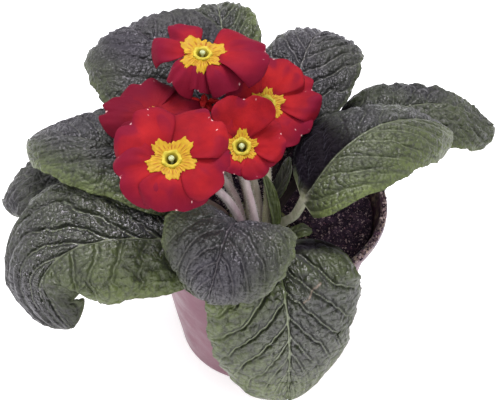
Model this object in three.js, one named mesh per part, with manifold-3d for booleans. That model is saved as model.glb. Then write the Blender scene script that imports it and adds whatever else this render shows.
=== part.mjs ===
// A primrose in flower in a thin plastic nursery pot.
// Millimetres, +Z up. The origin is the middle of the pot's foot, on the surface it stands on,
// and -Y is the side that the open flowers face.
//
// The plant grows from a short crown in the middle of the soil. Leaf stalks and flower stalks stand in
// plain round holes in the crown, and touching pieces keep a gap of 0.3 mm.
import * as THREE from "three";
import { mergeVertices } from "three/addons/utils/BufferGeometryUtils.js";
import Module from "manifold-3d";

const wasm = await Module();
wasm.setup();

// ---------------------------------------------------------------- driving dimensions

const GAP = 0.3;

const POT = {
  footRadius: 35,
  mouthRadius: 52.5,
  height: 88,
  wall: 1.2,
  floor: 2,
  floorLift: 3,
  footRing: 5,
  hubRadius: 12,
  hubSlope: 2,
  lipHeight: 5,
  lipWidth: 1.6,
  drainHoles: 6,
  drainRadius: 4,
  drainRing: 20,
  sides: 32,
};

const SOIL = { top: 78, lumps: 1.1, rings: 3 };

const CROWN = {
  x: -4,
  y: -12,
  radius: 18,
  foot: 58,
  shoulder: 78,
  top: 82,
  leafRing: 13,
  scapeRing: 5.6,
  socketFloor: 71,
  socketSides: 8,
  sides: 18,
};

const BLADE = {
  thickness: 0.9,
  scallop: 0.03, // how far the margin stands out between veins, as a share of the width
  wave: 0.04, // lift of the waved margin, as a share of the width
  sweep: 0.16, // how far side veins lean towards the tip
  petioleRows: 5,
  across: [-1, -0.6, -0.14, 0, 0.14, 0.6, 1], // where the sheet's columns lie between its margins
};

// The stalk of a grown and of a young leaf, and the pairs of side veins of its blade. clearance is
// between the stalk's side and the round socket, which also has to clear its corners.
const GROWN = { halfWidth: 1.9, thickness: 3.2, clearance: 1.3, veins: 7, relief: 0.9 };
const YOUNG = { halfWidth: 0.9, thickness: 1.8, clearance: 0.8, veins: 3, relief: 0.3 };

const FLOWER = {
  petalThickness: 0.7,
  petalRoot: 3.4, // radius where the petals leave the ring
  ringInner: 2.6,
  ringOuter: 5.4,
  tubeOuter: 2.3,
  tubeBore: 1.8,
  tubeLength: 9,
  eyeTeeth: 10,
  petalRows: 4,
  petalColumns: 4,
  eyeLift: 1.9,
  throatRadius: 4.3,
  stigmaRadius: 1.3,
  styleRadius: 0.5,
};
const SCAPE = { radius: 1.6, clearance: 0.8, curveSegments: 3, steps: 8 };
const CALYX = { radius: 3.9, bore: 2.6, length: 8, floor: 3, toothHeight: 4, teeth: 5 };
const BUD = { petalRadius: 2.4, petalLength: 8, cupRadius: 3.4, cupDepth: 5, stalkRadius: 1.1 };

// Leaves, from foot to tip. azimuth is where the stalk stands on the crown, spine is the line of the
// midrib above the crown, width is across the blade, start is the share of the spine below the blade,
// shoulder and point shape the two ends of the blade's outline. The pairs are for the left and right half,
// seen from the foot: halves scales its width, fold lifts it out of the midrib and curl turns its margin
// down. roll twists the blade round its spine, at its foot and at its tip. Angles are in degrees.
const LEAVES = [
  {
    name: "leaf_front_left",
    azimuth: 226,
    spine: [[-22, -30, 91], [-40, -43, 103], [-60, -51, 109], [-77, -57, 106], [-86, -65, 96], [-73, -75, 81]],
    width: 78, start: 0.2, shoulder: 0.4, point: 0.54,
    halves: [0.66, 1.16], fold: [5, 5], curl: [75, 60], roll: [0, 35],
  },
  {
    name: "leaf_left_low",
    azimuth: 195,
    spine: [[-32, -12, 89], [-56, -10, 97], [-82, -5, 97], [-105, -2, 90], [-115, -3, 77]],
    width: 50, start: 0.35, shoulder: 0.75, point: 0.5,
    halves: [1, 1], fold: [10, 10], curl: [60, 60], roll: [0, 0],
  },
  {
    name: "leaf_left_middle",
    azimuth: 165,
    spine: [[-29, -12, 96], [-44, -16, 112], [-62, -12, 122], [-83, -5, 120.5], [-102, 3, 109]],
    width: 58, start: 0.25, shoulder: 0.6, point: 0.5,
    halves: [0.8, 1], fold: [12, 6], curl: [55, 40], roll: [0, -4],
  },
  {
    name: "leaf_back_left",
    azimuth: 134,
    spine: [[-20, 9, 101], [-33, 27, 122], [-50, 40, 134], [-63, 53, 133], [-69, 68, 120]],
    width: 68, start: 0.355, shoulder: 0.46, point: 0.54,
    halves: [1.04, 0.9], fold: [16, 12], curl: [60, 40], roll: [0, 0],
  },
  {
    name: "leaf_back",
    azimuth: 102,
    spine: [[-13, 16, 94], [-18, 38, 107], [-23, 59, 124], [-27, 77, 128], [-29, 94, 118]],
    width: 44, start: 0.46, shoulder: 0.5, point: 0.5,
    halves: [1, 0.78], fold: [10, 10], curl: [60, 40], roll: [0, 0],
  },
  {
    name: "leaf_back_right",
    azimuth: 71,
    spine: [[4, 14, 100], [9, 34, 116], [14, 55, 126], [19, 72, 123], [23, 87, 111]],
    width: 54, start: 0.35, shoulder: 0.5, point: 0.5,
    halves: [0.78, 0.94], fold: [10, 10], curl: [60, 35], roll: [0, 0],
  },
  {
    name: "leaf_right_back",
    azimuth: 40,
    spine: [[14, 6, 92], [32, 24, 103], [56, 40, 109], [81, 51, 104], [104, 57, 88]],
    width: 52, start: 0.4, shoulder: 0.6, point: 0.5,
    halves: [1, 1], fold: [10, 5], curl: [45, 60], roll: [0, -4],
  },
  {
    name: "leaf_right",
    azimuth: 8,
    spine: [[14, -16, 94], [19, -20, 114], [29, -11, 128], [45, 2, 133], [65, 16, 126], [79, 26, 112]],
    width: 56, start: 0.3, shoulder: 0.45, point: 0.5,
    halves: [1, 0.91], fold: [0, 10], curl: [45, 85], roll: [0, -4],
  },
  {
    name: "leaf_front",
    azimuth: 258,
    spine: [[-9, -32, 100], [-12, -43, 115], [-14, -52, 118], [-16, -61, 114], [-18, -66, 104], [-20, -66, 93]],
    width: 60, start: 0.3, shoulder: 0.55, point: 0.55,
    halves: [0.96, 0.85], fold: [24, 24], curl: [60, 60], roll: [0, 0],
  },
  {
    name: "leaf_front_low",
    azimuth: 292,
    spine: [[4, -34, 90], [8, -47, 96], [11, -58, 92], [14, -63, 76], [16, -64, 53], [17, -64, 28]],
    width: 74, start: 0.18, shoulder: 0.34, point: 0.34,
    halves: [0.98, 0.9], fold: [8, 12], curl: [60, 50], roll: [4, 0],
  },
];

// Young leaves of the crown, in the same terms. ring is how far from the crown's middle the stalk stands.
const YOUNG_LEAVES = [
  {
    name: "young_leaf_middle",
    azimuth: 332, ring: 9.4,
    spine: [[4.6, -15.8, 91], [1.8, -13.2, 102], [-1, -12, 113]],
    width: 8, start: 0.25, shoulder: 0.6, point: 0.5,
    halves: [1, 1], fold: [35, 35], curl: [-20, -20], roll: [0, 0],
  },
  {
    name: "young_leaf_right",
    azimuth: 34, ring: 8.4,
    spine: [[5, -6, 94], [8.6, -5.4, 108], [9.8, -3.6, 116]],
    width: 9, start: 0.45, shoulder: 0.6, point: 0.5,
    halves: [1, 1], fold: [25, 25], curl: [30, 30], roll: [0, 0],
  },
  {
    name: "young_leaf_low",
    azimuth: 330, ring: 15,
    spine: [[14, -18.6, 86], [18, -18.4, 88.6], [21.5, -17.5, 87.2]],
    width: 8, start: 0.45, shoulder: 0.6, point: 0.5,
    halves: [1, 1], fold: [15, 15], curl: [40, 40], roll: [0, 0],
  },
];

// Open flowers. throat is the middle of the eye, lean is how far the flower's axis leans from upright
// and towards is the compass direction it leans to, both in degrees. stalk is the way of the flower stalk
// between the crown and the calyx. Each petal gives its direction round the axis in degrees, its length,
// its greatest width, and its lift, droop and roll: the slope at its root, the drop of its end and the
// turning down of its sides, in mm. notch is the depth of the nick in its end, as a share of its length.
const FLOWERS = [
  {
    name: "front_left",
    azimuth: 216,
    throat: [-36.6, -41, 146.4], lean: 18, towards: 262, eye: 10,
    stalk: [[-16, -20, 106], [-27, -29, 124]],
    petals: [
      { angle: 141, length: 25, width: 28, lift: 24, droop: 6, roll: 2, notch: 0.12 },
      { angle: 50, length: 25, width: 27, lift: 25, droop: 6, roll: 2, notch: 0.12 },
      { angle: -12, length: 23, width: 27, lift: 22, droop: 7, roll: 2, notch: 0.1 },
      { angle: -80, length: 21, width: 27, lift: 23, droop: 10, roll: 2, notch: 0.08 },
      { angle: -156, length: 23, width: 27, lift: 23, droop: 9, roll: 3, notch: 0.1 },
    ],
  },
  {
    name: "front_right",
    azimuth: 288,
    throat: [-10.6, -15, 131], lean: 24, towards: 272, eye: 7.4,
    stalk: [[-5, -17, 100]],
    petals: [
      { angle: 92, length: 20, width: 26, lift: 38, droop: 3, roll: -2, notch: 0.1 },
      { angle: 20, length: 18, width: 22, lift: 36, droop: 5, roll: 1, notch: 0.1 },
      { angle: -36, length: 16, width: 20, lift: 33, droop: 5, roll: 2, notch: 0.08 },
      { angle: -100, length: 13, width: 20, lift: 33, droop: 4, roll: 2, notch: 0.08 },
      { angle: 170, length: 14, width: 21, lift: 33, droop: 4, roll: 1, notch: 0.1 },
    ],
  },
  {
    name: "back",
    azimuth: 62,
    throat: [-29.6, 13.6, 154], lean: 4, towards: 275, eye: 10,
    stalk: [[-8, 0, 108], [-21, 12, 127]],
    petals: [
      { angle: 145, length: 23, width: 25, lift: 24, droop: 8, roll: 5, notch: 0.26 },
      { angle: 14, length: 28, width: 31, lift: 22, droop: 11, roll: 3, notch: 0.06 },
      { angle: -30, length: 20, width: 20, lift: 24, droop: 12, roll: 3, notch: 0.08 },
      { angle: -92, length: 14, width: 11, lift: 26, droop: 11, roll: 3, notch: 0.06 },
      { angle: -136, length: 17, width: 13, lift: 24, droop: 12, roll: 4, notch: 0.08 },
    ],
  },
  {
    name: "right",
    azimuth: 0,
    throat: [-2, 12, 131], lean: 20, towards: 285, eye: 8,
    stalk: [[1, -4, 102]],
    petals: [
      { angle: 86, length: 23, width: 29, lift: 20, droop: 4, roll: 2, notch: 0.08 },
      { angle: 26, length: 24, width: 27, lift: 18, droop: 5, roll: 2, notch: 0.14 },
      { angle: -38, length: 22, width: 24, lift: 16, droop: 5, roll: 2, notch: 0.1 },
      { angle: -112, length: 16, width: 20, lift: 8, droop: 4, roll: 2, notch: 0.1 },
      { angle: 160, length: 18, width: 26, lift: 12, droop: 4, roll: 2, notch: 0.1 },
    ],
  },
  {
    name: "back_left",
    azimuth: 156,
    throat: [-47, -6, 136], lean: 6, towards: 245, eye: 5,
    stalk: [[-18, -7, 104], [-36, -6, 113]],
    petals: [
      { angle: 172, length: 24, width: 19, lift: 12, droop: 5, roll: 3, notch: 0.14 },
      { angle: 114, length: 22, width: 26, lift: 14, droop: 5, roll: 2, notch: 0.12 },
      { angle: 48, length: 21, width: 24, lift: 10, droop: 4, roll: 2, notch: 0.1 },
      { angle: -36, length: 18, width: 22, lift: 6, droop: 4, roll: 2, notch: 0.1 },
      { angle: -108, length: 18, width: 22, lift: 6, droop: 4, roll: 2, notch: 0.1 },
    ],
  },
];

// Closed buds, on stalks of their own.
const BUDS = [
  { name: "bud", azimuth: 112, ring: 6.2, throat: [-28, 7, 131], stalk: [[-10, 0, 98], [-19, 4, 113]] },
];

const COLOURS = {
  pot: 0xb08098,
  soil: 0x2a1c26,
  crown: 0x8a9a5c,
  leaf: 0x4a5a44,
  petal: 0xc81e2e,
  eye: 0xf2b81e,
  stalk: 0xa88a90,
  stigma: 0xd8dc9a,
};

// ---------------------------------------------------------------- general helpers

const degrees = (angle) => THREE.MathUtils.degToRad(angle);
const vector = (point) => new THREE.Vector3(...point);

function material(colour, roughness = 0.7) {
  return new THREE.MeshStandardMaterial({ color: colour, roughness, metalness: 0 });
}

function solid(geometry) {
  const bare = geometry.clone();
  bare.deleteAttribute("normal");
  bare.deleteAttribute("uv");
  const merged = mergeVertices(bare, 1e-4);
  return new wasm.Manifold(
    new wasm.Mesh({
      numProp: 3,
      vertProperties: new Float32Array(merged.attributes.position.array),
      triVerts: new Uint32Array(merged.index.array),
    }),
  );
}

function geometryOf(manifold) {
  const mesh = manifold.getMesh();
  const geometry = new THREE.BufferGeometry();
  geometry.setAttribute("position", new THREE.BufferAttribute(mesh.vertProperties, 3));
  geometry.setIndex(new THREE.BufferAttribute(mesh.triVerts, 1));
  geometry.computeVertexNormals();
  return geometry;
}

function joined(geometries) {
  return geometryOf(geometries.map(solid).reduce((sum, next) => sum.add(next)));
}

function cut(geometry, cutters) {
  return geometryOf(cutters.map(solid).reduce((rest, next) => rest.subtract(next), solid(geometry)));
}

// Calls move(point) on each vertex, which changes the point in place.
function reshaped(geometry, move) {
  const position = geometry.attributes.position;
  const point = new THREE.Vector3();
  for (let i = 0; i < position.count; i += 1) {
    point.fromBufferAttribute(position, i);
    move(point);
    position.setXYZ(i, point.x, point.y, point.z);
  }
  return geometry;
}

// A lathe round +Z from a closed profile of [radius, height] points, counter-clockwise.
function turned(profile, sides) {
  const points = profile.map(([radius, height]) => new THREE.Vector2(radius, height));
  return new THREE.LatheGeometry([...points, points[0]], sides).rotateX(Math.PI / 2);
}

function rod(radius, from, to, sides = 8) {
  const start = vector(from);
  const axis = vector(to).sub(start);
  const geometry = new THREE.CylinderGeometry(radius, radius, axis.length(), sides);
  geometry.translate(0, axis.length() / 2, 0);
  geometry.applyQuaternion(
    new THREE.Quaternion().setFromUnitVectors(new THREE.Vector3(0, 1, 0), axis.normalize()),
  );
  return geometry.translate(start.x, start.y, start.z);
}

// A closed sheet from two grids of points, rows by columns. Both faces are split along the same
// diagonals, so that a waved sheet never cuts through itself.
function closedSheet(upper, lower) {
  const rows = upper.length;
  const columns = upper[0].length;
  const index = [];
  const top = (i, j) => i * columns + j;
  const under = (i, j) => rows * columns + i * columns + j;
  const quad = (a, b, c, d) => index.push(a, b, c, a, c, d);
  for (let i = 0; i < rows - 1; i += 1) {
    for (let j = 0; j < columns - 1; j += 1) {
      quad(top(i, j), top(i, j + 1), top(i + 1, j + 1), top(i + 1, j));
      quad(under(i, j), under(i + 1, j), under(i + 1, j + 1), under(i, j + 1));
    }
    quad(top(i, 0), top(i + 1, 0), under(i + 1, 0), under(i, 0));
    quad(top(i + 1, columns - 1), top(i, columns - 1), under(i, columns - 1), under(i + 1, columns - 1));
  }
  for (let j = 0; j < columns - 1; j += 1) {
    quad(top(0, j + 1), top(0, j), under(0, j), under(0, j + 1));
    quad(top(rows - 1, j), top(rows - 1, j + 1), under(rows - 1, j + 1), under(rows - 1, j));
  }
  const points = [...upper.flat(), ...lower.flat()];
  const geometry = new THREE.BufferGeometry().setFromPoints(points);
  geometry.setIndex(index);
  return geometry;
}

// ---------------------------------------------------------------- crown

function crownPoint(azimuth, ring, height) {
  const angle = degrees(azimuth);
  return [CROWN.x + ring * Math.cos(angle), CROWN.y + ring * Math.sin(angle), height];
}

function socket(azimuth, ring, radius) {
  const floor = crownPoint(azimuth, ring, CROWN.socketFloor);
  return rod(radius, floor, crownPoint(azimuth, ring, CROWN.top + 4), CROWN.socketSides);
}

function crownGeometry(sockets) {
  const { radius, foot, shoulder, top, sides } = CROWN;
  const dome = turned(
    [
      [0, foot],
      [radius * 0.7, foot],
      [radius, foot + 6],
      [radius, shoulder],
      [radius * 0.75, shoulder + (top - shoulder) * 0.6],
      [radius * 0.4, shoulder + (top - shoulder) * 0.92],
      [0, top],
    ],
    sides,
  ).translate(CROWN.x, CROWN.y, 0);
  return cut(dome, sockets);
}

// ---------------------------------------------------------------- leaves

// The line of a midrib, with the direction to the leaf's right and its upward normal at each station.
class Spine {
  static STATIONS = 64;

  constructor(points, roll) {
    const curve = new THREE.CatmullRomCurve3(points.map(vector), false, "centripetal");
    this.points = curve.getSpacedPoints(Spine.STATIONS);
    this.length = curve.getLength();
    const last = Spine.STATIONS;
    this.along = this.points.map((_, i) =>
      this.points[Math.min(i + 1, last)].clone().sub(this.points[Math.max(i - 1, 0)]).normalize(),
    );
    const reach = this.points[last].clone().sub(this.points[0]);
    const side = new THREE.Vector3(reach.y, -reach.x, 0);
    this.side = [];
    this.up = [];
    this.along.forEach((along, i) => {
      side.addScaledVector(along, -side.dot(along)).normalize();
      const twist = degrees(roll[0] + ((roll[1] - roll[0]) * i) / last);
      this.side.push(side.clone().applyAxisAngle(along, -twist));
      this.up.push(this.side[i].clone().cross(along));
    });
  }

  at(share) {
    const place = THREE.MathUtils.clamp(share, 0, 1) * Spine.STATIONS;
    const i = Math.min(Math.floor(place), Spine.STATIONS - 1);
    const mix = (list) => list[i].clone().lerp(list[i + 1], place - i);
    return { point: mix(this.points), side: mix(this.side).normalize(), up: mix(this.up).normalize() };
  }
}

// Share of the blade passed at a share of the spine, from 0 at the blade's base to 1 at its tip.
const bladeShare = (leaf, share) => Math.max(0, (share - leaf.start) / (1 - leaf.start));

function halfWidth(leaf, share) {
  const s = bladeShare(leaf, share);
  const { shoulder, point } = leaf;
  const narrow = leaf.stalk.halfWidth;
  const peak = shoulder / (shoulder + point);
  const outline = (s ** shoulder * (1 - s) ** point) / (peak ** shoulder * (1 - peak) ** point);
  return Math.max(0.8, narrow * Math.sqrt(1 - s) + (leaf.width / 2 - narrow * 0.6) * outline);
}

// A point of the leaf's middle surface. across runs from -1 to 1 and phase counts side veins.
function leafPoint(leaf, spine, share, across, phase) {
  const s = bladeShare(leaf, share);
  const outward = Math.abs(across);
  const half = across < 0 ? 0 : 1;
  const frame = spine.at(share);
  const between = -Math.cos(2 * Math.PI * phase);
  const onBlade = s > 0 ? 1 : 0;
  const size = s > 0 ? leaf.halves[half] : 1;
  const reach = halfWidth(leaf, share) * size * (1 + onBlade * BLADE.scallop * between * outward ** 2);
  const fold = degrees(leaf.fold[half]);
  const curl = degrees(leaf.curl[half]) * Math.sin((Math.PI / 2) * s ** 0.7) + 1e-3;
  const x = (Math.sin(fold) - Math.sin(fold - curl * outward)) / curl;
  const z = (Math.cos(fold - curl * outward) - Math.cos(fold)) / curl;
  const bulge = leaf.stalk.relief * between * Math.sin(Math.PI * Math.min(1, outward * 1.1)) * Math.min(1, s * 6);
  const wave = (BLADE.wave * leaf.width) / 2 * outward ** 4 * Math.sin(2 * Math.PI * (0.31 * phase + 0.37 * half));
  return frame.point
    .addScaledVector(frame.side, Math.sign(across) * reach * x)
    .addScaledVector(frame.up, reach * z + onBlade * (bulge * Math.sqrt(1 - s) + wave));
}

// Thickness of the blade, of the stalk or midrib under it, and the rise that centres a stalk on its spine.
function leafThickness(leaf, share, across) {
  const s = bladeShare(leaf, share);
  const offset = (across * halfWidth(leaf, share)) / leaf.stalk.halfWidth;
  const round = Math.sqrt(Math.max(0, 1 - Math.min(1, offset * offset)));
  const stalk = leaf.stalk.thickness - BLADE.thickness;
  return {
    blade: BLADE.thickness,
    rib: stalk * round * (1 - s) ** 0.8,
    rise: (stalk / 2) * Math.max(0, 1 - 4 * s),
  };
}

function leafGeometry(leaf) {
  const ring = leaf.ring ?? CROWN.leafRing;
  const foot = crownPoint(leaf.azimuth, ring, CROWN.socketFloor + GAP);
  const above = crownPoint(leaf.azimuth, ring + 0.3, CROWN.top);
  const spine = new Spine([foot, above, ...leaf.spine], leaf.roll);
  const { veins } = leaf.stalk;
  const rows = [];
  for (let i = 0; i < BLADE.petioleRows; i += 1) {
    rows.push({ share: (leaf.start * i) / BLADE.petioleRows, phase: 0 });
  }
  for (let i = 0; i <= 2 * veins; i += 1) {
    const passed = 1 - (1 - i / (2 * veins)) ** 1.5;
    rows.push({ share: leaf.start + (1 - leaf.start) * passed, phase: i / 2 });
  }
  const upper = [];
  const lower = [];
  for (const { share, phase } of rows) {
    const upperRow = [];
    const lowerRow = [];
    for (const across of BLADE.across) {
      const s = bladeShare(leaf, share);
      const lean = BLADE.sweep * Math.abs(across) ** 1.3 * s ** 0.6 * (1 - s) * 1.6;
      const swept = share + (1 - leaf.start) * lean;
      const middle = leafPoint(leaf, spine, swept, across, phase);
      const step = 0.01;
      const ahead = leafPoint(leaf, spine, Math.min(1, swept + step), across, 0.25);
      const behind = leafPoint(leaf, spine, Math.max(0, swept - step), across, 0.25);
      const right = leafPoint(leaf, spine, swept, across + step, 0.25);
      const left = leafPoint(leaf, spine, swept, across - step, 0.25);
      const normal = right.sub(left).cross(ahead.sub(behind)).normalize();
      const { blade, rib, rise } = leafThickness(leaf, swept, across);
      upperRow.push(middle.clone().addScaledVector(normal, rise + blade / 2));
      lowerRow.push(middle.clone().addScaledVector(normal, rise - blade / 2 - rib));
    }
    upper.push(upperRow);
    lower.push(lowerRow);
  }
  return closedSheet(upper, lower);
}

// ---------------------------------------------------------------- flowers

// Turns the flower's own frame, with +Z out of the throat and +Y to the back, to its lean.
function flowerTurn(flower) {
  const lean = degrees(flower.lean);
  const towards = degrees(flower.towards);
  const axis = new THREE.Vector3(
    Math.sin(lean) * Math.cos(towards),
    Math.sin(lean) * Math.sin(towards),
    Math.cos(lean),
  );
  const x = new THREE.Vector3(1, 0, 0).addScaledVector(axis, -axis.x).normalize();
  const y = axis.clone().cross(x);
  return new THREE.Quaternion().setFromRotationMatrix(new THREE.Matrix4().makeBasis(x, y, axis));
}

// Rise of the flower's face above its ring: each petal's own lift near its middle, blended between.
function faceRise(flower, radius, angle) {
  let weights = 0;
  let slope = 0;
  for (const petal of flower.petals) {
    const weight = Math.exp(3 * Math.cos(angle - degrees(petal.angle)));
    weights += weight;
    slope += weight * Math.tan(degrees(petal.lift));
  }
  const out = Math.max(0, radius - FLOWER.petalRoot);
  return (slope / weights) * (out - 1.5 * (1 - Math.exp(-out / 1.5)));
}

function petalPoint(flower, petal, number, along, across) {
  const root = FLOWER.petalRoot;
  const nick = petal.notch * Math.exp(-((across / 0.2) ** 2));
  const notch = 1 - nick - 0.55 * (1 - Math.sqrt(1 - 0.97 * across * across));
  const y = root + along * (petal.length - root) * notch;
  const spread = 0.1 + 0.9 * Math.sin((Math.PI / 2) * Math.min(1, along * 1.25));
  const x = (across * petal.width * spread) / 2;
  const radius = Math.hypot(x, y);
  const angle = degrees(petal.angle) - Math.atan2(x, y);
  const outer = THREE.MathUtils.smoothstep(radius, 6, 16);
  const overlap = across * (0.7 + 0.4 * outer);
  const ripple = 0.7 * outer * Math.sin(3.1 * across + 2.3 * number + 5 * along);
  const bend = -petal.droop * along ** 2.2 - petal.roll * across * across * along;
  const z = faceRise(flower, radius, angle) + overlap + ripple + bend;
  return new THREE.Vector3(radius * Math.cos(angle), radius * Math.sin(angle), z);
}

function petalGeometry(flower, petal, number) {
  const { petalRows: rows, petalColumns: columns } = FLOWER;
  const grid = (lift) =>
    Array.from({ length: rows + 1 }, (_, i) =>
      Array.from({ length: columns + 1 }, (_, j) => {
        const point = petalPoint(flower, petal, number, i / rows, (2 * j) / columns - 1);
        return point.setZ(point.z + lift);
      }),
    );
  return closedSheet(grid(FLOWER.petalThickness / 2), grid(-FLOWER.petalThickness / 2));
}

function corollaGeometry(flower) {
  const { ringInner, ringOuter } = FLOWER;
  const half = 0.6;
  const ring = turned(
    [
      [ringInner, -half],
      [ringOuter, -half],
      [ringOuter, half],
      [ringInner, half],
    ],
    20,
  );
  const petals = flower.petals.map((petal, number) => petalGeometry(flower, petal, number));
  return cut(joined([ring, ...petals]), [rod(ringInner, [0, 0, -8], [0, 0, 8], 20)]);
}

// The yellow eye: a toothed plate over the petals' roots, a raised ring and the tube under it.
function eyeGeometry(flower) {
  const { tubeOuter, tubeBore, tubeLength, eyeTeeth, eyeLift, throatRadius } = FLOWER;
  const eyeRadius = flower.eye;
  const plate = 0.35;
  const blank = turned(
    [
      [0, -tubeLength],
      [tubeOuter, -tubeLength],
      [tubeOuter, eyeLift - plate],
      [throatRadius, eyeLift - plate],
      [eyeRadius, eyeLift - plate],
      [eyeRadius, eyeLift + plate],
      [throatRadius, eyeLift + plate],
      [tubeBore + 0.6, eyeLift + 1.2],
      [tubeBore, eyeLift],
      [tubeBore, 2 - tubeLength],
      [0, 2 - tubeLength],
    ],
    2 * eyeTeeth,
  );
  return reshaped(blank, (point) => {
    const radius = Math.hypot(point.x, point.y);
    const angle = Math.atan2(point.y, point.x);
    if (radius > eyeRadius - 0.1) {
      const tooth = 1 + 0.14 * Math.cos(eyeTeeth * angle) + 0.08 * Math.cos(3 * angle + flower.azimuth);
      point.x *= tooth;
      point.y *= tooth;
    }
    if (radius > tubeOuter + 0.1) point.z += faceRise(flower, Math.hypot(point.x, point.y), angle);
  });
}

function pistilGeometry() {
  const { styleRadius, stigmaRadius, tubeLength, eyeLift } = FLOWER;
  const foot = 2 - tubeLength + GAP;
  const head = eyeLift + 0.4;
  return turned(
    [
      [0, foot],
      [styleRadius, foot],
      [styleRadius, head - stigmaRadius],
      [stigmaRadius, head - 0.4],
      [stigmaRadius * 0.85, head + 0.5],
      [0, head + 0.8],
    ],
    6,
  );
}

function calyxGeometry() {
  const { radius, bore, length, toothHeight, teeth } = CALYX;
  const inside = -FLOWER.tubeLength - GAP;
  const rim = inside + length;
  const cup = turned(
    [
      [0, inside - CALYX.floor],
      [SCAPE.radius + 0.4, inside - CALYX.floor],
      [radius, inside],
      [radius - 0.2, rim - toothHeight],
      [radius - 0.5, rim],
      [bore, rim],
      [bore, inside],
      [0, inside],
    ],
    2 * teeth,
  );
  return reshaped(cup, (point) => {
    const tooth = (1 + Math.sin(teeth * Math.atan2(point.y, point.x))) / 2;
    if (point.z > rim - 0.1) point.z -= toothHeight * (1 - tooth);
  });
}

// A round stalk along a smooth way through the points.
function stalkGeometry(points, radius) {
  const section = new THREE.Shape();
  section.absarc(0, 0, radius, 0, 2 * Math.PI);
  return new THREE.ExtrudeGeometry(section, {
    steps: SCAPE.steps,
    curveSegments: SCAPE.curveSegments,
    extrudePath: new THREE.CatmullRomCurve3(points.map(vector), false, "centripetal"),
  });
}

function scapeGeometry(flower) {
  const turn = flowerTurn(flower);
  const throat = vector(flower.throat);
  const below = (depth) => new THREE.Vector3(0, 0, -depth).applyQuaternion(turn).add(throat).toArray();
  const base = FLOWER.tubeLength + GAP + CALYX.floor - 0.5;
  const stem = stalkGeometry(
    [
      crownPoint(flower.azimuth, CROWN.scapeRing, CROWN.socketFloor + GAP),
      crownPoint(flower.azimuth, CROWN.scapeRing, CROWN.top + 2),
      ...flower.stalk,
      below(base + 4),
      below(base),
    ],
    SCAPE.radius,
  );
  const calyx = calyxGeometry().applyQuaternion(turn).translate(throat.x, throat.y, throat.z);
  return joined([stem, calyx]);
}

// A bud's rolled petals, standing in the cup of its calyx.
function budGeometry(bud) {
  const { petalRadius, petalLength, cupDepth } = BUD;
  const [x, y, z] = bud.throat;
  return turned(
    [
      [0, GAP - cupDepth],
      [petalRadius * 0.6, GAP - cupDepth],
      [petalRadius, 0],
      [petalRadius * 0.8, petalLength * 0.6],
      [0, petalLength],
    ],
    8,
  ).translate(x, y, z);
}

function budScapeGeometry(bud) {
  const { petalRadius, cupRadius, cupDepth, stalkRadius } = BUD;
  const [x, y, z] = bud.throat;
  const cup = turned(
    [
      [0, -cupDepth - 2.5],
      [cupRadius, -cupDepth],
      [cupRadius, -1],
      [petalRadius + GAP, -1],
      [petalRadius * 0.7 + GAP, -cupDepth],
      [0, -cupDepth],
    ],
    8,
  ).translate(x, y, z);
  const stem = stalkGeometry(
    [
      crownPoint(bud.azimuth, bud.ring, CROWN.socketFloor + GAP),
      crownPoint(bud.azimuth, bud.ring, CROWN.top + 2),
      ...bud.stalk,
      [x, y, z - cupDepth - 6],
      [x, y, z - cupDepth - 1.5],
    ],
    stalkRadius,
  );
  return joined([stem, cup]);
}

// ---------------------------------------------------------------- pot and soil

function potRadius(height) {
  return POT.footRadius + ((POT.mouthRadius - POT.footRadius) * height) / POT.height;
}

function potGeometry() {
  const { height, wall, floor, floorLift, footRing, hubRadius, hubSlope, lipHeight, lipWidth, sides } = POT;
  const body = turned(
    [
      [0, 0],
      [hubRadius, 0],
      [hubRadius + hubSlope, floorLift],
      [potRadius(0) - footRing - hubSlope, floorLift],
      [potRadius(0) - footRing, 0],
      [potRadius(0), 0],
      [potRadius(height - lipHeight), height - lipHeight],
      [potRadius(height) + lipWidth, height - lipHeight + 1],
      [potRadius(height) + lipWidth, height - 0.6],
      [potRadius(height) + lipWidth / 2, height],
      [potRadius(height) - wall, height],
      [potRadius(floor + floorLift) - wall, floor + floorLift],
      [hubRadius + hubSlope, floor + floorLift],
      [hubRadius, floor],
      [0, floor],
    ],
    sides,
  );
  const drains = Array.from({ length: POT.drainHoles }, (_, i) => {
    const angle = (2 * Math.PI * i) / POT.drainHoles;
    const x = POT.drainRing * Math.cos(angle);
    const y = POT.drainRing * Math.sin(angle);
    return rod(POT.drainRadius, [x, y, -1], [x, y, floor + floorLift + 1]);
  });
  return cut(body, drains);
}

function soilGeometry() {
  const bottom = POT.floor + POT.floorLift + GAP;
  const inner = (height) => (potRadius(height) - POT.wall) * Math.cos(Math.PI / POT.sides) - GAP;
  const edge = inner(SOIL.top) - 0.4;
  const rings = Array.from({ length: SOIL.rings }, (_, i) => [(edge * (SOIL.rings - i)) / SOIL.rings, SOIL.top]);
  const hub = [
    [0, POT.floor + GAP],
    [POT.hubRadius - 0.5, POT.floor + GAP],
    [POT.hubRadius + POT.hubSlope - 0.5, bottom],
  ];
  const heap = turned([...hub, [inner(bottom), bottom], ...rings, [0, SOIL.top]], POT.sides);
  reshaped(heap, (point) => {
    if (point.z < SOIL.top - 0.1) return;
    const radius = Math.hypot(point.x, point.y);
    if (radius > edge - 0.1) return;
    const { x, y } = point;
    point.z += SOIL.lumps * (Math.sin(0.31 * x + 1) * Math.cos(0.27 * y) + 0.6 * Math.sin(0.53 * y - 0.41 * x));
  });
  const well = rod(
    CROWN.radius + GAP,
    [CROWN.x, CROWN.y, CROWN.foot - GAP],
    [CROWN.x, CROWN.y, SOIL.top + 10],
    CROWN.sides,
  );
  return cut(heap, [well]);
}

// ---------------------------------------------------------------- assembly

const primrose = new THREE.Group();

function place(name, geometry, colour, roughness, parent = primrose) {
  const mesh = new THREE.Mesh(geometry, material(colour, roughness));
  mesh.name = name;
  parent.add(mesh);
}

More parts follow.
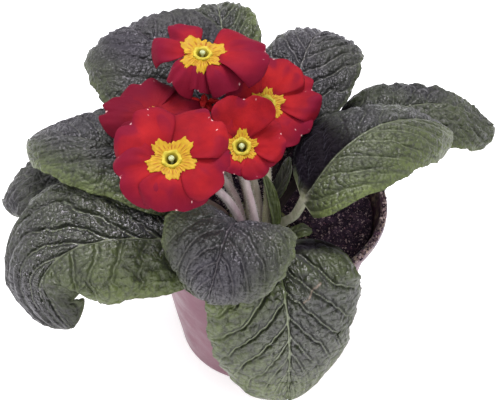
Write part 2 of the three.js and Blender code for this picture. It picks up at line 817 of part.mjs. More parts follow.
place("pot", potGeometry(), COLOURS.pot, 0.45);
place("soil", soilGeometry(), COLOURS.soil, 0.95);

const sockets = [];
for (const [leaves, stalk] of [[LEAVES, GROWN], [YOUNG_LEAVES, YOUNG]]) {
  for (const leaf of leaves) {
    place(leaf.name, leafGeometry({ ...leaf, stalk }), COLOURS.leaf, 0.75);
    sockets.push(socket(leaf.azimuth, leaf.ring ?? CROWN.leafRing, stalk.halfWidth + stalk.clearance));
  }
}
for (const flower of FLOWERS) {
  const head = new THREE.Group();
  head.position.set(...flower.throat);
  head.quaternion.copy(flowerTurn(flower));
  primrose.add(head);
  place(`petals_${flower.name}`, corollaGeometry(flower), COLOURS.petal, 0.6, head);
  place(`eye_${flower.name}`, eyeGeometry(flower), COLOURS.eye, 0.6, head);
  place(`pistil_${flower.name}`, pistilGeometry(), COLOURS.stigma, 0.5, head);
  place(`scape_${flower.name}`, scapeGeometry(flower), COLOURS.stalk, 0.7);
  sockets.push(socket(flower.azimuth, CROWN.scapeRing, SCAPE.radius + SCAPE.clearance));
}
for (const bud of BUDS) {
  place(`petals_${bud.name}`, budGeometry(bud), COLOURS.petal, 0.6);
  place(`scape_${bud.name}`, budScapeGeometry(bud), COLOURS.stalk, 0.7);
  sockets.push(socket(bud.azimuth, bud.ring, BUD.stalkRadius + SCAPE.clearance));
}
place("crown", crownGeometry(sockets), COLOURS.crown, 0.8);

export default primrose;
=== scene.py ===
"""A primrose in flower in its nursery pot: fine leaves, flowers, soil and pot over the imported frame.

Shapes follow the same lines and sizes as the frame's solids, in millimetres, and are written out in metres.
"""

import math
from collections import namedtuple
from types import SimpleNamespace

import bpy
import numpy as np
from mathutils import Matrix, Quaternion, Vector


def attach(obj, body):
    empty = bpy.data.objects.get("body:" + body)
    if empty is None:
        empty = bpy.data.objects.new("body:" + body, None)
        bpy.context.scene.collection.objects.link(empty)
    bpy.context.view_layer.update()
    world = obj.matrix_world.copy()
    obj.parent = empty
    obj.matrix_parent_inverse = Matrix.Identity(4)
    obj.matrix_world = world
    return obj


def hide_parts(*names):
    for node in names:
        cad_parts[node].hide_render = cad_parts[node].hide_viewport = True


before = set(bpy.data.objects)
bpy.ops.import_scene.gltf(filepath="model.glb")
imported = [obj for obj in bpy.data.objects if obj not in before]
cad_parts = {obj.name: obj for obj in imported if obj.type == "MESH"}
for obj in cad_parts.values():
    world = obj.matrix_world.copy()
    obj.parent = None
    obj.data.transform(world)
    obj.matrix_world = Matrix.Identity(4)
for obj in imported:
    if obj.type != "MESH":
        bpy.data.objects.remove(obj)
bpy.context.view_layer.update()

MM = 0.001

# ---------------------------------------------------------------- sizes shared with the frame

POT = dict(foot=35, mouth=52.5, height=88, wall=1.2, floor=2, lift=3, ring=5, hub=12, slope=2)
LIP = dict(height=5, width=1.6)
SOIL_TOP = 78
CROWN = dict(x=-4, y=-12, top=82, leaf_ring=13, scape_ring=5.6, socket_floor=71.3)
# A leaf's half width and thickness at its stalk, its side veins, the height of its relief, the steps of its
# grid along and across the blade, and the first leaf's seed.
GROWN = dict(half=1.9, thick=3.2, veins=8, relief=0.9, grid=(144, 112), seed=11)
YOUNG = dict(half=0.9, thick=1.8, veins=5, relief=0.3, grid=(60, 40), seed=31)
BLADE = dict(thick=0.7, wave=0.04, sweep=0.16)
FLOWER = dict(root=3.4, tube=9, gap=0.3, seat=2.5, petal=0.4)

# What a leaf has where its own entry says nothing else. A pair holds for the left and the right half of the
# blade, seen from foot to tip; roll holds for the foot and the tip.
LEAF = dict(
    ring=CROWN["leaf_ring"], point=0.5, halves=(1, 1), fold=(10, 10), curl=(60, 40), roll=(0, 0),
    # How the side veins run forward, and how strong the quilting is and how much less at the tip.
    sweep=(0.5, 0.5), bow=(1.3, 1.3), puff=(1, 1), calm=0.0,
    # A cut in the margin: the half it is in, its place, its depth, and its reach before and after the place.
    nick=(0, 0.5, 0.0, 0.02, 0.02),
    # Looks: paler parts, partly painted light; veins that show; sheen, violet painted sheen and coarse grain;
    # painted shade; a scratch.
    light=(0.1, 0.0), tip=0.15, pale_margin=False, pale_stalk=0.0, show=(0.4, 0.4),
    shine=(0.5, 0.5), bloom=0.3, coarse=(0, 0),
    shade=(0.2, 0.2), deep=(0, 0), dusk=0.0, dark_stalk=0.0, scar=(),
)
YOUNG_LEAF = dict(LEAF, width=8, shoulder=0.6, sweep=(0.4, 0.4), light=(0.9, 0.9), show=(0.5, 0.5))

LEAVES = {
    "leaf_front_left": dict(
        azimuth=226,
        spine=[(-22, -30, 91), (-40, -43, 103), (-60, -51, 109), (-77, -57, 106), (-86, -65, 96), (-73, -75, 81)],
        width=78, start=0.2, shoulder=0.4, point=0.54, halves=(0.66, 1.16),
        fold=(5, 5), curl=(75, 60), roll=(0, 35), sweep=(0.15, 0.6), bow=(1.2, 0.85),
        puff=(1.1, 1.7), calm=0.5, nick=(0, 0.915, 0.75, 0.005, 0.012),
        light=(0.9, 0.4), tip=-0.4, show=(0.5, 1.0), shine=(0.5, 1.0), bloom=0.2, coarse=(0.7, 0.1),
        deep=(0.03, 0.2), dusk=0.4,
    ),
    "leaf_left_low": dict(
        azimuth=195,
        spine=[(-32, -12, 89), (-56, -10, 97), (-82, -5, 97), (-105, -2, 90), (-115, -3, 77)],
        width=50, start=0.35, shoulder=0.75, curl=(60, 60), shine=(0.4, 0.4), deep=(0.28, 0.28),
    ),
    "leaf_left_middle": dict(
        azimuth=165,
        spine=[(-29, -12, 96), (-44, -16, 112), (-62, -12, 122), (-83, -5, 120.5), (-102, 3, 109)],
        width=58, start=0.25, shoulder=0.6, halves=(0.8, 1), fold=(12, 6), curl=(55, 40), roll=(0, -4),
        light=(1.0, 0.0), pale_margin=True, show=(0.3, 0.35), shine=(0.3, 0.5), bloom=0.6, deep=(0.0, 0.22),
    ),
    "leaf_back_left": dict(
        azimuth=134,
        spine=[(-20, 9, 101), (-33, 27, 122), (-50, 40, 134), (-63, 53, 133), (-69, 68, 120)],
        width=68, start=0.355, shoulder=0.46, point=0.54, halves=(1.04, 0.9), fold=(16, 12),
        sweep=(0.55, 0.45), puff=(0.8, 0.7),
        light=(0.6, 0.0), pale_margin=True, shine=(0.3, 0.35), bloom=1.1, deep=(0.26, 0.3),
    ),
    "leaf_back": dict(
        azimuth=102,
        spine=[(-13, 16, 94), (-18, 38, 107), (-23, 59, 124), (-27, 77, 128), (-29, 94, 118)],
        width=44, start=0.46, shoulder=0.5, halves=(1, 0.78), sweep=(0.45, 0.45),
        light=(0.35, 0.55), show=(0.45, 0.45), shine=(0.3, 0.3),
    ),
    "leaf_back_right": dict(
        azimuth=71,
        spine=[(4, 14, 100), (9, 34, 116), (14, 55, 126), (19, 72, 123), (23, 87, 111)],
        width=54, start=0.35, shoulder=0.5, halves=(0.78, 0.94), curl=(60, 35), sweep=(0.45, 0.45),
        puff=(0.9, 1.1), light=(0.0, 0.15), show=(0.6, 0.6), shine=(0.6, 0.5), bloom=0.8,
        deep=(0.2, 0.2), dark_stalk=0.9,
    ),
    "leaf_right_back": dict(
        azimuth=40,
        spine=[(14, 6, 92), (32, 24, 103), (56, 40, 109), (81, 51, 104), (104, 57, 88)],
        width=52, start=0.4, shoulder=0.6, fold=(10, 5), curl=(45, 60), roll=(0, -4), sweep=(0.4, 0.5),
        puff=(1.5, 1.4), light=(0.2, 0.5), shine=(0.3, 0.25), dark_stalk=0.9,
    ),
    "leaf_right": dict(
        azimuth=8,
        spine=[(14, -16, 94), (19, -20, 114), (29, -11, 128), (45, 2, 133), (65, 16, 126), (79, 26, 112)],
        width=56, start=0.3, shoulder=0.45, halves=(1, 0.91), fold=(0, 10), curl=(45, 85), roll=(0, -4),
        sweep=(0.4, 0.6), puff=(0.9, 0.6), light=(0.1, 0.9), pale_stalk=1.0, show=(0.4, 0.5),
        shine=(0.35, 0.25), bloom=0.2, shade=(0.5, 0.06),
    ),
    "leaf_front": dict(
        azimuth=258,
        spine=[(-9, -32, 100), (-12, -43, 115), (-14, -52, 118), (-16, -61, 114), (-18, -66, 104), (-20, -66, 93)],
        width=60, start=0.3, shoulder=0.55, point=0.55, halves=(0.96, 0.85), fold=(24, 24), curl=(60, 60),
        puff=(0.9, 0.9), light=(0.5, 0.6), pale_margin=True, show=(0.48, 0.48), shine=(0.6, 0.5),
        bloom=1.0, coarse=(0.3, 0.3), deep=(0.14, 0.0),
    ),
    "leaf_front_low": dict(
        azimuth=292,
        spine=[(4, -34, 90), (8, -47, 96), (11, -58, 92), (14, -63, 76), (16, -64, 53), (17, -64, 28)],
        width=74, start=0.18, shoulder=0.34, point=0.34, halves=(0.98, 0.9), fold=(8, 12), curl=(60, 50),
        roll=(4, 0), sweep=(0.8, 0.55), bow=(1.0, 1.1), puff=(0.85, 0.8), calm=0.55,
        nick=(0, 0.64, 0.13, 0.004, 0.08),
        light=(0.45, 0.85), tip=0.8, show=(0.8, 0.95), shine=(0.8, 0.7), bloom=0.0, coarse=(0.9, 0.9),
        deep=(0.14, 0.08), scar=[(19, -59, 88), (21.5, -57, 90.5), (22.5, -55.5, 92.5), (25.5, -52.5, 94)],
    ),
}
YOUNG_LEAVES = {
    "young_leaf_middle": dict(
        azimuth=332, ring=9.4, spine=[(4.6, -15.8, 91), (1.8, -13.2, 102), (-1, -12, 113)],
        start=0.25, fold=(35, 35), curl=(-20, -20),
    ),
    "young_leaf_right": dict(
        azimuth=34, ring=8.4, spine=[(5, -6, 94), (8.6, -5.4, 108), (9.8, -3.6, 116)],
        width=9, start=0.45, fold=(25, 25), curl=(30, 30), light=(0.1, 0.1),
    ),
    "young_leaf_low": dict(
        azimuth=330, ring=15, spine=[(14, -18.6, 86), (18, -18.4, 88.6), (21.5, -17.5, 87.2)],
        start=0.45, fold=(15, 15), curl=(40, 40),
    ),
}

# Angles in degrees; the nick is the depth of the cut in the petal's end, as a share of its length.
Petal = namedtuple("Petal", "towards length width lift droop roll nick")

# A flower leans towards an angle; mauve tints its petals and painted shade darkens them, pink tints its stalk.
FLOWERS = {
    "front_left": dict(
        azimuth=216, throat=(-36.6, -41, 146.4), lean=18, towards=262, eye=10, mauve=0.0, dusk=0.0, pink=0.9,
        stalk=[(-16, -20, 106), (-27, -29, 124)],
        petals=[
            (141, 25, 28, 24, 6, 2, 0.12), (50, 25, 27, 25, 6, 2, 0.12),
            (-12, 23, 27, 22, 7, 2, 0.1), (-80, 21, 27, 23, 10, 2, 0.08),
            (-156, 23, 27, 23, 9, 3, 0.1),
        ],
    ),
    "front_right": dict(
        azimuth=288, throat=(-10.6, -15, 131), lean=24, towards=272, eye=7.4, mauve=0.0, dusk=0.0, pink=0.9,
        stalk=[(-5, -17, 100)],
        petals=[
            (92, 20, 26, 38, 3, -2, 0.1), (20, 18, 22, 36, 5, 1, 0.1),
            (-36, 16, 20, 33, 5, 2, 0.08), (-100, 13, 20, 33, 4, 2, 0.08),
            (170, 14, 21, 33, 4, 1, 0.1),
        ],
    ),
    "back": dict(
        azimuth=62, throat=(-29.6, 13.6, 154), lean=4, towards=275, eye=10, mauve=1.0, dusk=0.0, pink=0.4,
        stalk=[(-8, 0, 108), (-21, 12, 127)],
        petals=[
            (145, 23, 25, 24, 8, 5, 0.26), (14, 28, 31, 22, 11, 3, 0.06),
            (-30, 20, 20, 24, 12, 3, 0.08), (-92, 14, 11, 26, 11, 3, 0.06),
            (-136, 17, 13, 24, 12, 4, 0.08),
        ],
    ),
    "right": dict(
        azimuth=0, throat=(-2, 12, 131), lean=20, towards=285, eye=8, mauve=0.35, dusk=0.0, pink=0.2,
        stalk=[(1, -4, 102)],
        petals=[
            (86, 23, 29, 20, 4, 2, 0.08), (26, 24, 27, 18, 5, 2, 0.14),
            (-38, 22, 24, 16, 5, 2, 0.1), (-112, 16, 20, 8, 4, 2, 0.1),
            (160, 18, 26, 12, 4, 2, 0.1),
        ],
    ),
    "back_left": dict(
        azimuth=156, throat=(-47, -6, 136), lean=6, towards=245, eye=5, mauve=1.6, dusk=0.65, pink=0.6,
        stalk=[(-18, -7, 104), (-36, -6, 113)],
        petals=[
            (172, 24, 19, 12, 5, 3, 0.14), (114, 22, 26, 14, 5, 2, 0.12),
            (48, 21, 24, 10, 4, 2, 0.1), (-36, 18, 22, 6, 4, 2, 0.1),
            (-108, 18, 22, 6, 4, 2, 0.1),
        ],
    ),
}
BUD = dict(
    azimuth=112, ring=6.2, throat=(-28, 7, 131), stalk=[(-10, 0, 98), (-19, 4, 113)],
    # Direction, reach and height of the small petals that unfold round it.
    petals=[(196, 6.2, 4.6), (232, 5.0, 2.6), (268, 4.4, 5.4), (305, 5.6, 3.4), (345, 6.4, 5.0)],
)
# Height above which a stalk lies in the dark between the flowers and is darkened with painted shade, in mm.
SHADE_HEIGHT = {"back": 116, "bud": 112}

# ---------------------------------------------------------------- meshes


def unit(v):
    return v / np.maximum(np.linalg.norm(v, axis=-1, keepdims=True), 1e-9)


def normals(grid):
    return unit(np.cross(np.gradient(grid, axis=1), np.gradient(grid, axis=0)))


def ring_angles(count):
    return np.linspace(0, 2 * np.pi, count, endpoint=False)


def polar(radius, angle, height):
    """Points at a distance and an angle round the vertical axis."""
    return np.stack(np.broadcast_arrays(radius * np.cos(angle), radius * np.sin(angle), height), -1)


def smooth_step(value, low, high):
    t = np.clip((value - low) / (high - low), 0, 1)
    return t * t * (3 - 2 * t)


def hump(value, width):
    """1 at zero, falling off smoothly over about width."""
    return np.exp(-((value / width) ** 2))


def grid_quads(rows, columns, flip=False, wrap=False):
    index = np.arange(rows * columns).reshape(rows, columns)
    if wrap:
        index = np.hstack([index, index[:, :1]])
    quads = [index[:-1, :-1], index[:-1, 1:], index[1:, 1:], index[1:, :-1]]
    return np.stack(quads[::-1] if flip else quads, -1).reshape(-1, 4)


def edge_strip(fine, coarse, flip):
    """Triangles between an edge and one with half as many steps."""
    a, m, b = fine[:-1:2], fine[1::2], fine[2::2]
    c, d = coarse[:-1], coarse[1:]
    tris = [(a, m, c), (m, d, c), (m, b, d)]
    return [np.stack(t[::-1] if flip else t, -1) for t in tris]


def closed_sheet(upper, lower):
    """Vertices and faces of a sheet: a fine upper grid over a lower grid with half as many steps."""
    rows, columns = upper.shape[:2]
    below = lower[::2, ::2]
    top = np.arange(rows * columns).reshape(rows, columns)
    under = rows * columns + np.arange(below.shape[0] * below.shape[1]).reshape(below.shape[:2])
    faces = [grid_quads(rows, columns), grid_quads(*below.shape[:2], flip=True) + rows * columns]
    faces += edge_strip(top[:, 0], under[:, 0], False) + edge_strip(top[:, -1], under[:, -1], True)
    faces += edge_strip(top[0], under[0], True) + edge_strip(top[-1], under[-1], False)
    return np.concatenate([upper.reshape(-1, 3), below.reshape(-1, 3)]), faces


def put(name, data):
    """A new object in the scene."""
    made = bpy.data.objects.new(name, data)
    bpy.context.scene.collection.objects.link(made)
    return made


class Piece:
    """Collects grids and lumps, in millimetres, into one mesh with named values at its vertices."""

    def __init__(self, *values):
        self.values = {name: [] for name in values}
        self.vertices = []
        self.faces = []
        self.count = 0

    def add(self, vertices, faces, **values):
        vertices = np.asarray(vertices, float).reshape(-1, 3)
        for name, kept in self.values.items():
            kept.append(np.broadcast_to(np.asarray(values.get(name, 0.0), float).ravel(), len(vertices)))
        self.vertices.append(vertices)
        self.faces += [np.asarray(f, int) + self.count for f in faces if len(f)]
        self.count += len(vertices)

    def add_round(self, grid, flip=False, **values):
        """A grid whose rows close into rings."""
        self.add(grid, [grid_quads(*grid.shape[:2], flip=flip, wrap=True)], **values)

    def add_sheet(self, upper, lower, lower_values=None, **values):
        """A closed sheet; its lower side has the upper side's values unless lower_values names others."""
        vertices, faces = closed_sheet(upper, lower)
        below = {**values, **(lower_values or {})}
        both = {name: np.concatenate([values[name].ravel(), below[name][::2, ::2].ravel()]) for name in values}
        self.add(vertices, faces, **both)

    def paint_shade_above(self, height):
        # Painted shade over the stalk above height, fading in over 8 mm.
        z = np.concatenate(self.vertices)[:, 2]
        self.values["dim"] = [smooth_step(z, height, height + 8)]

    def build(self, node, material):
        """The mesh that stands for a node of the frame."""
        mesh = bpy.data.meshes.new(node + "_fine")
        vertices = np.concatenate(self.vertices) * MM
        mesh.vertices.add(len(vertices))
        mesh.vertices.foreach_set("co", vertices.ravel())
        sizes = np.concatenate([np.full(len(f), f.shape[1]) for f in self.faces])
        corners = np.concatenate([f.ravel() for f in self.faces])
        mesh.loops.add(len(corners))
        mesh.loops.foreach_set("vertex_index", corners)
        mesh.polygons.add(len(sizes))
        mesh.polygons.foreach_set("loop_start", np.cumsum(sizes) - sizes)
        mesh.polygons.foreach_set("loop_total", sizes)
        mesh.polygons.foreach_set("use_smooth", np.ones(len(sizes), bool))
        mesh.update(calc_edges=True)
        for value, kept in self.values.items():
            layer = mesh.attributes.new(value, "FLOAT", "POINT")
            layer.data.foreach_set("value", np.concatenate(kept))
        mesh.materials.append(material)
        piece = put(node + "_fine", mesh)
        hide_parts(node)
        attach(piece, "root")


def spread(points, count):
    """count points evenly along the centripetal Catmull-Rom curve through points."""
    p = np.array(points, float)
    p = np.vstack([2 * p[0] - p[1], p, 2 * p[-1] - p[-2]])
    t = np.linspace(0, 1, 200, endpoint=False)[:, None]
    pieces = []
    for i in range(len(p) - 3):
        q = p[i : i + 4]
        g = np.sum(np.diff(q, axis=0) ** 2, axis=1) ** 0.25
        m1 = g[1] * ((q[1] - q[0]) / g[0] - (q[2] - q[0]) / (g[0] + g[1]) + (q[2] - q[1]) / g[1])
        m2 = g[1] * ((q[2] - q[1]) / g[1] - (q[3] - q[1]) / (g[1] + g[2]) + (q[3] - q[2]) / g[2])
        bend = -3 * q[1] + 3 * q[2] - 2 * m1 - m2
        pieces.append(q[1] + m1 * t + bend * t**2 + (2 * q[1] - 2 * q[2] + m1 + m2) * t**3)
    dense = np.vstack([*pieces, p[-2:-1]])
    length = np.concatenate([[0], np.cumsum(np.linalg.norm(np.diff(dense, axis=0), axis=1))])
    return sample(dense, length, np.linspace(0, length[-1], count))


def sample(rows, places, where):
    """Rows of numbers given at places, read off in between."""
    return np.stack([np.interp(where, places, column) for column in rows.T], -1)


def carried(along, side):
    """The direction side, carried without twist along a line with those directions."""
    sides = []
    for direction in along:
        side = unit(side - direction * (side @ direction))
        sides.append(side)
    return np.array(sides)


def wander(points, scale, seed, octaves=3):
    """Smooth noise, about -1 to 1, at points, with features of about scale."""
    rng = np.random.default_rng(seed)
    total = 0
    for octave in range(octaves):
        waves = unit(rng.normal(size=(7, 3))) * (2 * np.pi / scale) * 1.9**octave * rng.uniform(0.7, 1.3, (7, 1))
        total = total + np.sin(points @ waves.T + rng.uniform(0, 6.28, 7)).sum(-1) * 0.55**octave / 3.2
    return total


def drift(a, b, scale, seed, c=0.0):
    """The same noise over the values a, b and c."""
    return wander(np.stack(np.broadcast_arrays(a, b, c), -1), scale, seed, 2)


def steepness(values, points):
    """How fast a grid's values change along its surface, per millimetre."""
    a, b = np.gradient(points, axis=0), np.gradient(points, axis=1)
    da, db = np.gradient(values, axis=0), np.gradient(values, axis=1)
    e, f, g = np.sum(a * a, -1), np.sum(a * b, -1), np.sum(b * b, -1)
    square = (g * da**2 - 2 * f * da * db + e * db**2) / np.maximum(e * g - f * f, 1e-9)
    return np.sqrt(np.clip(square, 1e-4, 4))


# ---------------------------------------------------------------- materials


class Shader:
    """A principled material whose colour, roughness and bump are built from nodes."""

    def __init__(self, name, **inputs):
        self.material = bpy.data.materials.new(name)
        self.material.use_nodes = True
        self.nodes = self.material.node_tree.nodes
        self.links = self.material.node_tree.links
        self.bsdf = self.nodes["Principled BSDF"]
        self.normal = None
        self.feed(self.bsdf, inputs)

    def feed(self, node, inputs):
        """Sets a node's inputs to numbers or colours, or links them."""
        for name, item in inputs.items():
            socket = node.inputs[name.replace("_", " ") if isinstance(name, str) else name]
            if not isinstance(item, (int, float, tuple)):
                self.links.new(item, socket)
            elif isinstance(item, tuple) and socket.type == "RGBA":
                socket.default_value = (*item, 1)
            else:
                socket.default_value = item

    def node(self, kind, output, inputs, **settings):
        """The output of a new node."""
        node = self.nodes.new("ShaderNode" + kind)
        for name, setting in settings.items():
            setattr(node, name, setting)
        self.feed(node, inputs)
        return node.outputs[output]

    def value(self, name):
        """The value of that name at the mesh's vertices."""
        return self.node("Attribute", "Fac", {}, attribute_name=name)

    def object_place(self):
        return self.node("TexCoord", "Object", {})

    def noise(self, scale, detail=3.0, rough=0.55, stretch=None):
        where = self.object_place()
        if stretch:
            where = self.node("Mapping", "Vector", dict(Vector=where, Scale=stretch))
        return self.node("TexNoise", "Fac", dict(Vector=where, Scale=scale, Detail=detail, Roughness=rough))

    def voronoi(self, scale, where=None):
        return self.node("TexVoronoi", "Distance", dict(Vector=where or self.object_place(), Scale=scale))

    def warped(self, scale, amount):
        """Object coordinates pushed about by noise."""
        where = self.object_place()
        noise = self.node("TexNoise", "Color", dict(Vector=where, Scale=scale, Detail=2))
        inputs = {0: noise, 1: (amount, amount, amount), 2: where}
        return self.node("VectorMath", "Vector", inputs, operation="MULTIPLY_ADD")

    def ramp(self, source, *stops):
        """A colour ramp; each stop is (place, colour)."""
        node = self.nodes.new("ShaderNodeValToRGB")
        elements = node.color_ramp.elements
        for place, _ in stops[2:]:
            elements.new(place)
        for element, (place, colour) in zip(elements, stops):
            element.position = place
            element.color = (*colour, 1)
        self.links.new(source, node.inputs["Fac"])
        return node.outputs["Color"]

    def graph(self, source, low, high, out_low=0.0, out_high=1.0):
        """out_low where source is below low, out_high above high, and smooth between."""
        inputs = dict(Value=source, From_Min=low, From_Max=high, To_Min=out_low, To_Max=out_high)
        return self.node("MapRange", "Result", inputs, interpolation_type="SMOOTHSTEP")

    def maths(self, operation, *items):
        return self.node("Math", "Value", dict(enumerate(items)), operation=operation)

    def times(self, a, b):
        return self.maths("MULTIPLY", a, b)

    def flip(self, item):
        return self.maths("SUBTRACT", 1.0, item)

    def line(self, item, slope, start):
        return self.maths("MULTIPLY_ADD", item, slope, start)

    def between(self, share, a, b):
        return self.line(share, self.maths("SUBTRACT", b, a), a)

    def mix(self, amount, a, b):
        node = self.nodes.new("ShaderNodeMix")
        node.data_type = "RGBA"
        first, second = (i for i, socket in enumerate(node.inputs) if socket.type == "RGBA")
        self.feed(node, {0: amount, first: a, second: b})
        return next(socket for socket in node.outputs if socket.type == "RGBA")

    def tinted(self, colour, name, low, high, most, tint):
        """colour, turning to tint by up to most while the value of that name goes from low to high."""
        return self.mix(self.graph(self.value(name), low, high, 0, most), colour, tint)

    def colour(self, source):
        self.feed(self.bsdf, dict(Base_Color=source))

    def rough(self, source):
        self.feed(self.bsdf, dict(Roughness=source))

    def bump(self, height, distance, strength=1.0):
        """Relief over what earlier calls gave."""
        inputs = dict(Height=height, Distance=distance, Strength=strength)
        if self.normal:
            inputs["Normal"] = self.normal
        self.normal = self.node("Bump", "Normal", inputs)
        self.feed(self.bsdf, dict(Normal=self.normal))


def rgb(r, g, b):
    """A colour given in screen values from 0 to 255."""
    def linear(c):
        c = c / 255
        return c / 12.92 if c < 0.04045 else ((c + 0.055) / 1.055) ** 2.4

    return (linear(r), linear(g), linear(b))


def leaf_material():
    s = Shader(
        "leaf", Sheen_Weight=0.06, Sheen_Roughness=0.5, Sheen_Tint=(0.8, 0.74, 0.95),
        Specular_Tint=(0.98, 0.93, 1.0),
    )
    names = ("vein", "branch", "blade", "show", "shine", "light", "bloom", "shade", "coarse")
    vein, fork, blade, show, shine, light, bloom, shade, coarse = (s.value(name) for name in names)
    drawn = s.times(show, blade)
    # Small cells between the veins, wider ones where the grain is coarse.
    cells = s.between(coarse, s.voronoi(600, s.warped(90, 0.004)), s.voronoi(330, s.warped(70, 0.006)))
    tiny_cells = s.voronoi(900)
    patches, fine = s.noise(45, 4), s.noise(420, 3)

    dark = s.ramp(patches, (0.3, rgb(15, 18, 14)), (0.5, rgb(27, 33, 23)), (0.72, rgb(45, 53, 34)))
    # Paler green where light is high: real at the margins and tip, painted light on halves that face the lamps.
    colour = s.mix(light, dark, s.ramp(patches, (0.3, rgb(72, 84, 40)), (0.7, rgb(98, 111, 52))))
    # A violet painted sheen, in patches.
    colour = s.mix(s.times(s.graph(s.noise(16, 2), 0.25, 0.75, 0.1, 0.6), bloom), colour, rgb(58, 52, 66))
    # Painted shade: the vein grooves, the cross veins and the edges of the small cells darken towards near black.
    valley_shade = s.times(s.graph(vein, 0.0, 1.2, 0.35, 0.0), show)
    valley_shade = s.maths("MAXIMUM", s.graph(cells, 0.4, 0.85, 0.0, 0.5), valley_shade)
    valley_shade = s.maths("MAXIMUM", valley_shade, s.graph(fork, 0.0, 0.8, 0.6, 0.0))
    colour = s.mix(s.times(valley_shade, blade), colour, rgb(13, 13, 14))
    lines = s.maths("MAXIMUM", s.graph(vein, 0.12, 0.36, 0.9, 0.0), s.graph(fork, 0.05, 0.2, 0.5, 0.0))
    ribs = s.mix(s.times(bloom, 0.8), rgb(122, 132, 96), rgb(84, 74, 86))
    colour = s.mix(s.times(lines, drawn), colour, ribs)
    colour = s.tinted(colour, "middle", 0.3, 0.9, 0.7, ribs)
    colour = s.tinted(colour, "rim", 0.3, 1.0, 0.25, rgb(98, 111, 52))
    colour = s.mix(s.value("scar"), colour, rgb(190, 164, 146))
    colour = s.mix(s.value("under"), colour, rgb(84, 94, 70))
    # Painted shade: the shaded parts turn near black.
    colour = s.mix(shade, colour, rgb(16, 10, 18))
    stalk = s.ramp(fine, (0.35, rgb(126, 112, 98)), (0.65, rgb(150, 124, 122)))
    stalk = s.mix(light, stalk, s.ramp(fine, (0.35, rgb(188, 192, 156)), (0.65, rgb(220, 218, 196))))
    s.colour(s.mix(s.value("stalk"), colour, stalk))

    s.rough(s.maths("SUBTRACT", s.graph(s.noise(60, 3), 0.35, 0.65, 0.46, 0.64), s.times(shine, 0.3)))
    lit = s.graph(shade, 0.2, 0.9, 1.0, 0.08)
    s.feed(s.bsdf, dict(Specular_IOR_Level=s.times(lit, s.line(shine, 0.66, 0.4))))
    open_blade = s.times(s.flip(s.times(s.graph(vein, 0.3, 1.8, 0.85, 0.0), show)), blade)
    height = s.times(open_blade, s.times(s.line(shine, 0.55, 0.45), s.line(coarse, 0.9, 1.0)))
    s.bump(s.times(s.graph(vein, 0.0, 1.1), drawn), 0.0007, 0.7)
    s.bump(s.times(s.flip(s.times(cells, cells)), height), 0.0016, 0.9)
    s.bump(s.times(s.flip(s.times(tiny_cells, tiny_cells)), open_blade), 0.0004, 0.6)
    s.bump(s.noise(1200, 3), 0.0002, 0.4)
    return s.material


def petal_material():
    s = Shader("petal", Roughness=0.75, Specular_IOR_Level=0.12)
    colour = s.ramp(s.noise(70, 4), (0.3, rgb(122, 12, 26)), (0.5, rgb(144, 19, 27)), (0.7, rgb(166, 28, 28)))
    # The fold tint also darkens the lower petals as painted shade.
    colour = s.tinted(colour, "fold", 0.1, 1.0, 0.8, rgb(104, 9, 41))
    # The root tint covers whole petals as painted shade where a flower lies in shade.
    colour = s.tinted(colour, "root", 0.0, 1.0, 0.7, rgb(86, 3, 24))
    colour = s.tinted(colour, "line", 0.3, 1.0, 0.5, rgb(88, 2, 16))
    s.colour(s.tinted(colour, "fleck", 0.45, 1.0, 0.9, rgb(240, 190, 190)))
    s.bump(s.value("line"), 0.0002, 0.5)
    s.bump(s.noise(700, 3), 0.0002, 0.5)
    return s.material


def eye_material():
    s = Shader("eye", Roughness=0.6, Specular_IOR_Level=0.3)
    grain = s.noise(500, 3)
    colour = s.ramp(grain, (0.3, rgb(162, 122, 8)), (0.7, rgb(186, 148, 20)))
    colour = s.tinted(colour, "streak", 0.25, 1.0, 0.85, rgb(150, 74, 6))
    ring = s.ramp(grain, (0.3, rgb(164, 150, 36)), (0.7, rgb(200, 182, 62)))
    colour = s.tinted(colour, "ring", 0.1, 0.9, 1.0, ring)
    s.colour(s.tinted(colour, "deep", 0.2, 1.0, 1.0, rgb(150, 134, 50)))
    s.bump(grain, 0.0003, 0.5)
    return s.material


def pistil_material():
    s = Shader("pistil", Roughness=0.4, Subsurface_Weight=0.1)
    s.colour(s.ramp(s.noise(900, 2), (0.3, rgb(150, 158, 104)), (0.7, rgb(186, 190, 142))))
    s.bump(s.voronoi(2500), 0.0002, 0.6)
    return s.material


def stalk_material():
    s = Shader("stalk", Roughness=0.55, Specular_IOR_Level=0.4, Sheen_Weight=0.3)
    grain = s.noise(160, 3, stretch=(1, 1, 0.3))
    green = s.ramp(grain, (0.3, rgb(128, 140, 88)), (0.7, rgb(178, 180, 132)))
    pink = s.ramp(grain, (0.3, rgb(176, 140, 156)), (0.7, rgb(230, 212, 218)))
    colour = s.mix(s.value("pink"), green, pink)
    colour = s.mix(s.value("hair"), colour, rgb(226, 216, 214))
    # Painted shade on stalks where they lie in the dark between the flowers.
    colour = s.mix(s.value("dim"), colour, rgb(58, 10, 20))
    s.colour(colour)
    s.bump(s.noise(600, 3, stretch=(1, 1, 0.25)), 0.0004, 0.6)
    return s.material


def soil_material():
    s = Shader("soil", Roughness=0.95, Specular_IOR_Level=0.2)
    clods = s.noise(260, 5, 0.7)
    colour = s.ramp(clods, (0.3, rgb(24, 15, 30)), (0.52, rgb(48, 34, 50)), (0.75, rgb(96, 74, 88)))
    grit = s.ramp(s.noise(380, 1), (0.35, rgb(124, 82, 98)), (0.65, rgb(202, 176, 176)))
    colour = s.mix(s.graph(s.noise(1000, 2), 0.58, 0.66, 0, 0.8), colour, grit)
    pale = s.ramp(s.noise(900, 2), (0.3, rgb(140, 108, 114)), (0.7, rgb(222, 200, 196)))
    s.colour(s.tinted(colour, "fleck", 0.4, 0.9, 1.0, pale))
    s.bump(clods, 0.002, 1.0)
    s.bump(s.noise(1400, 4, 0.7), 0.0008, 0.8)
    return s.material


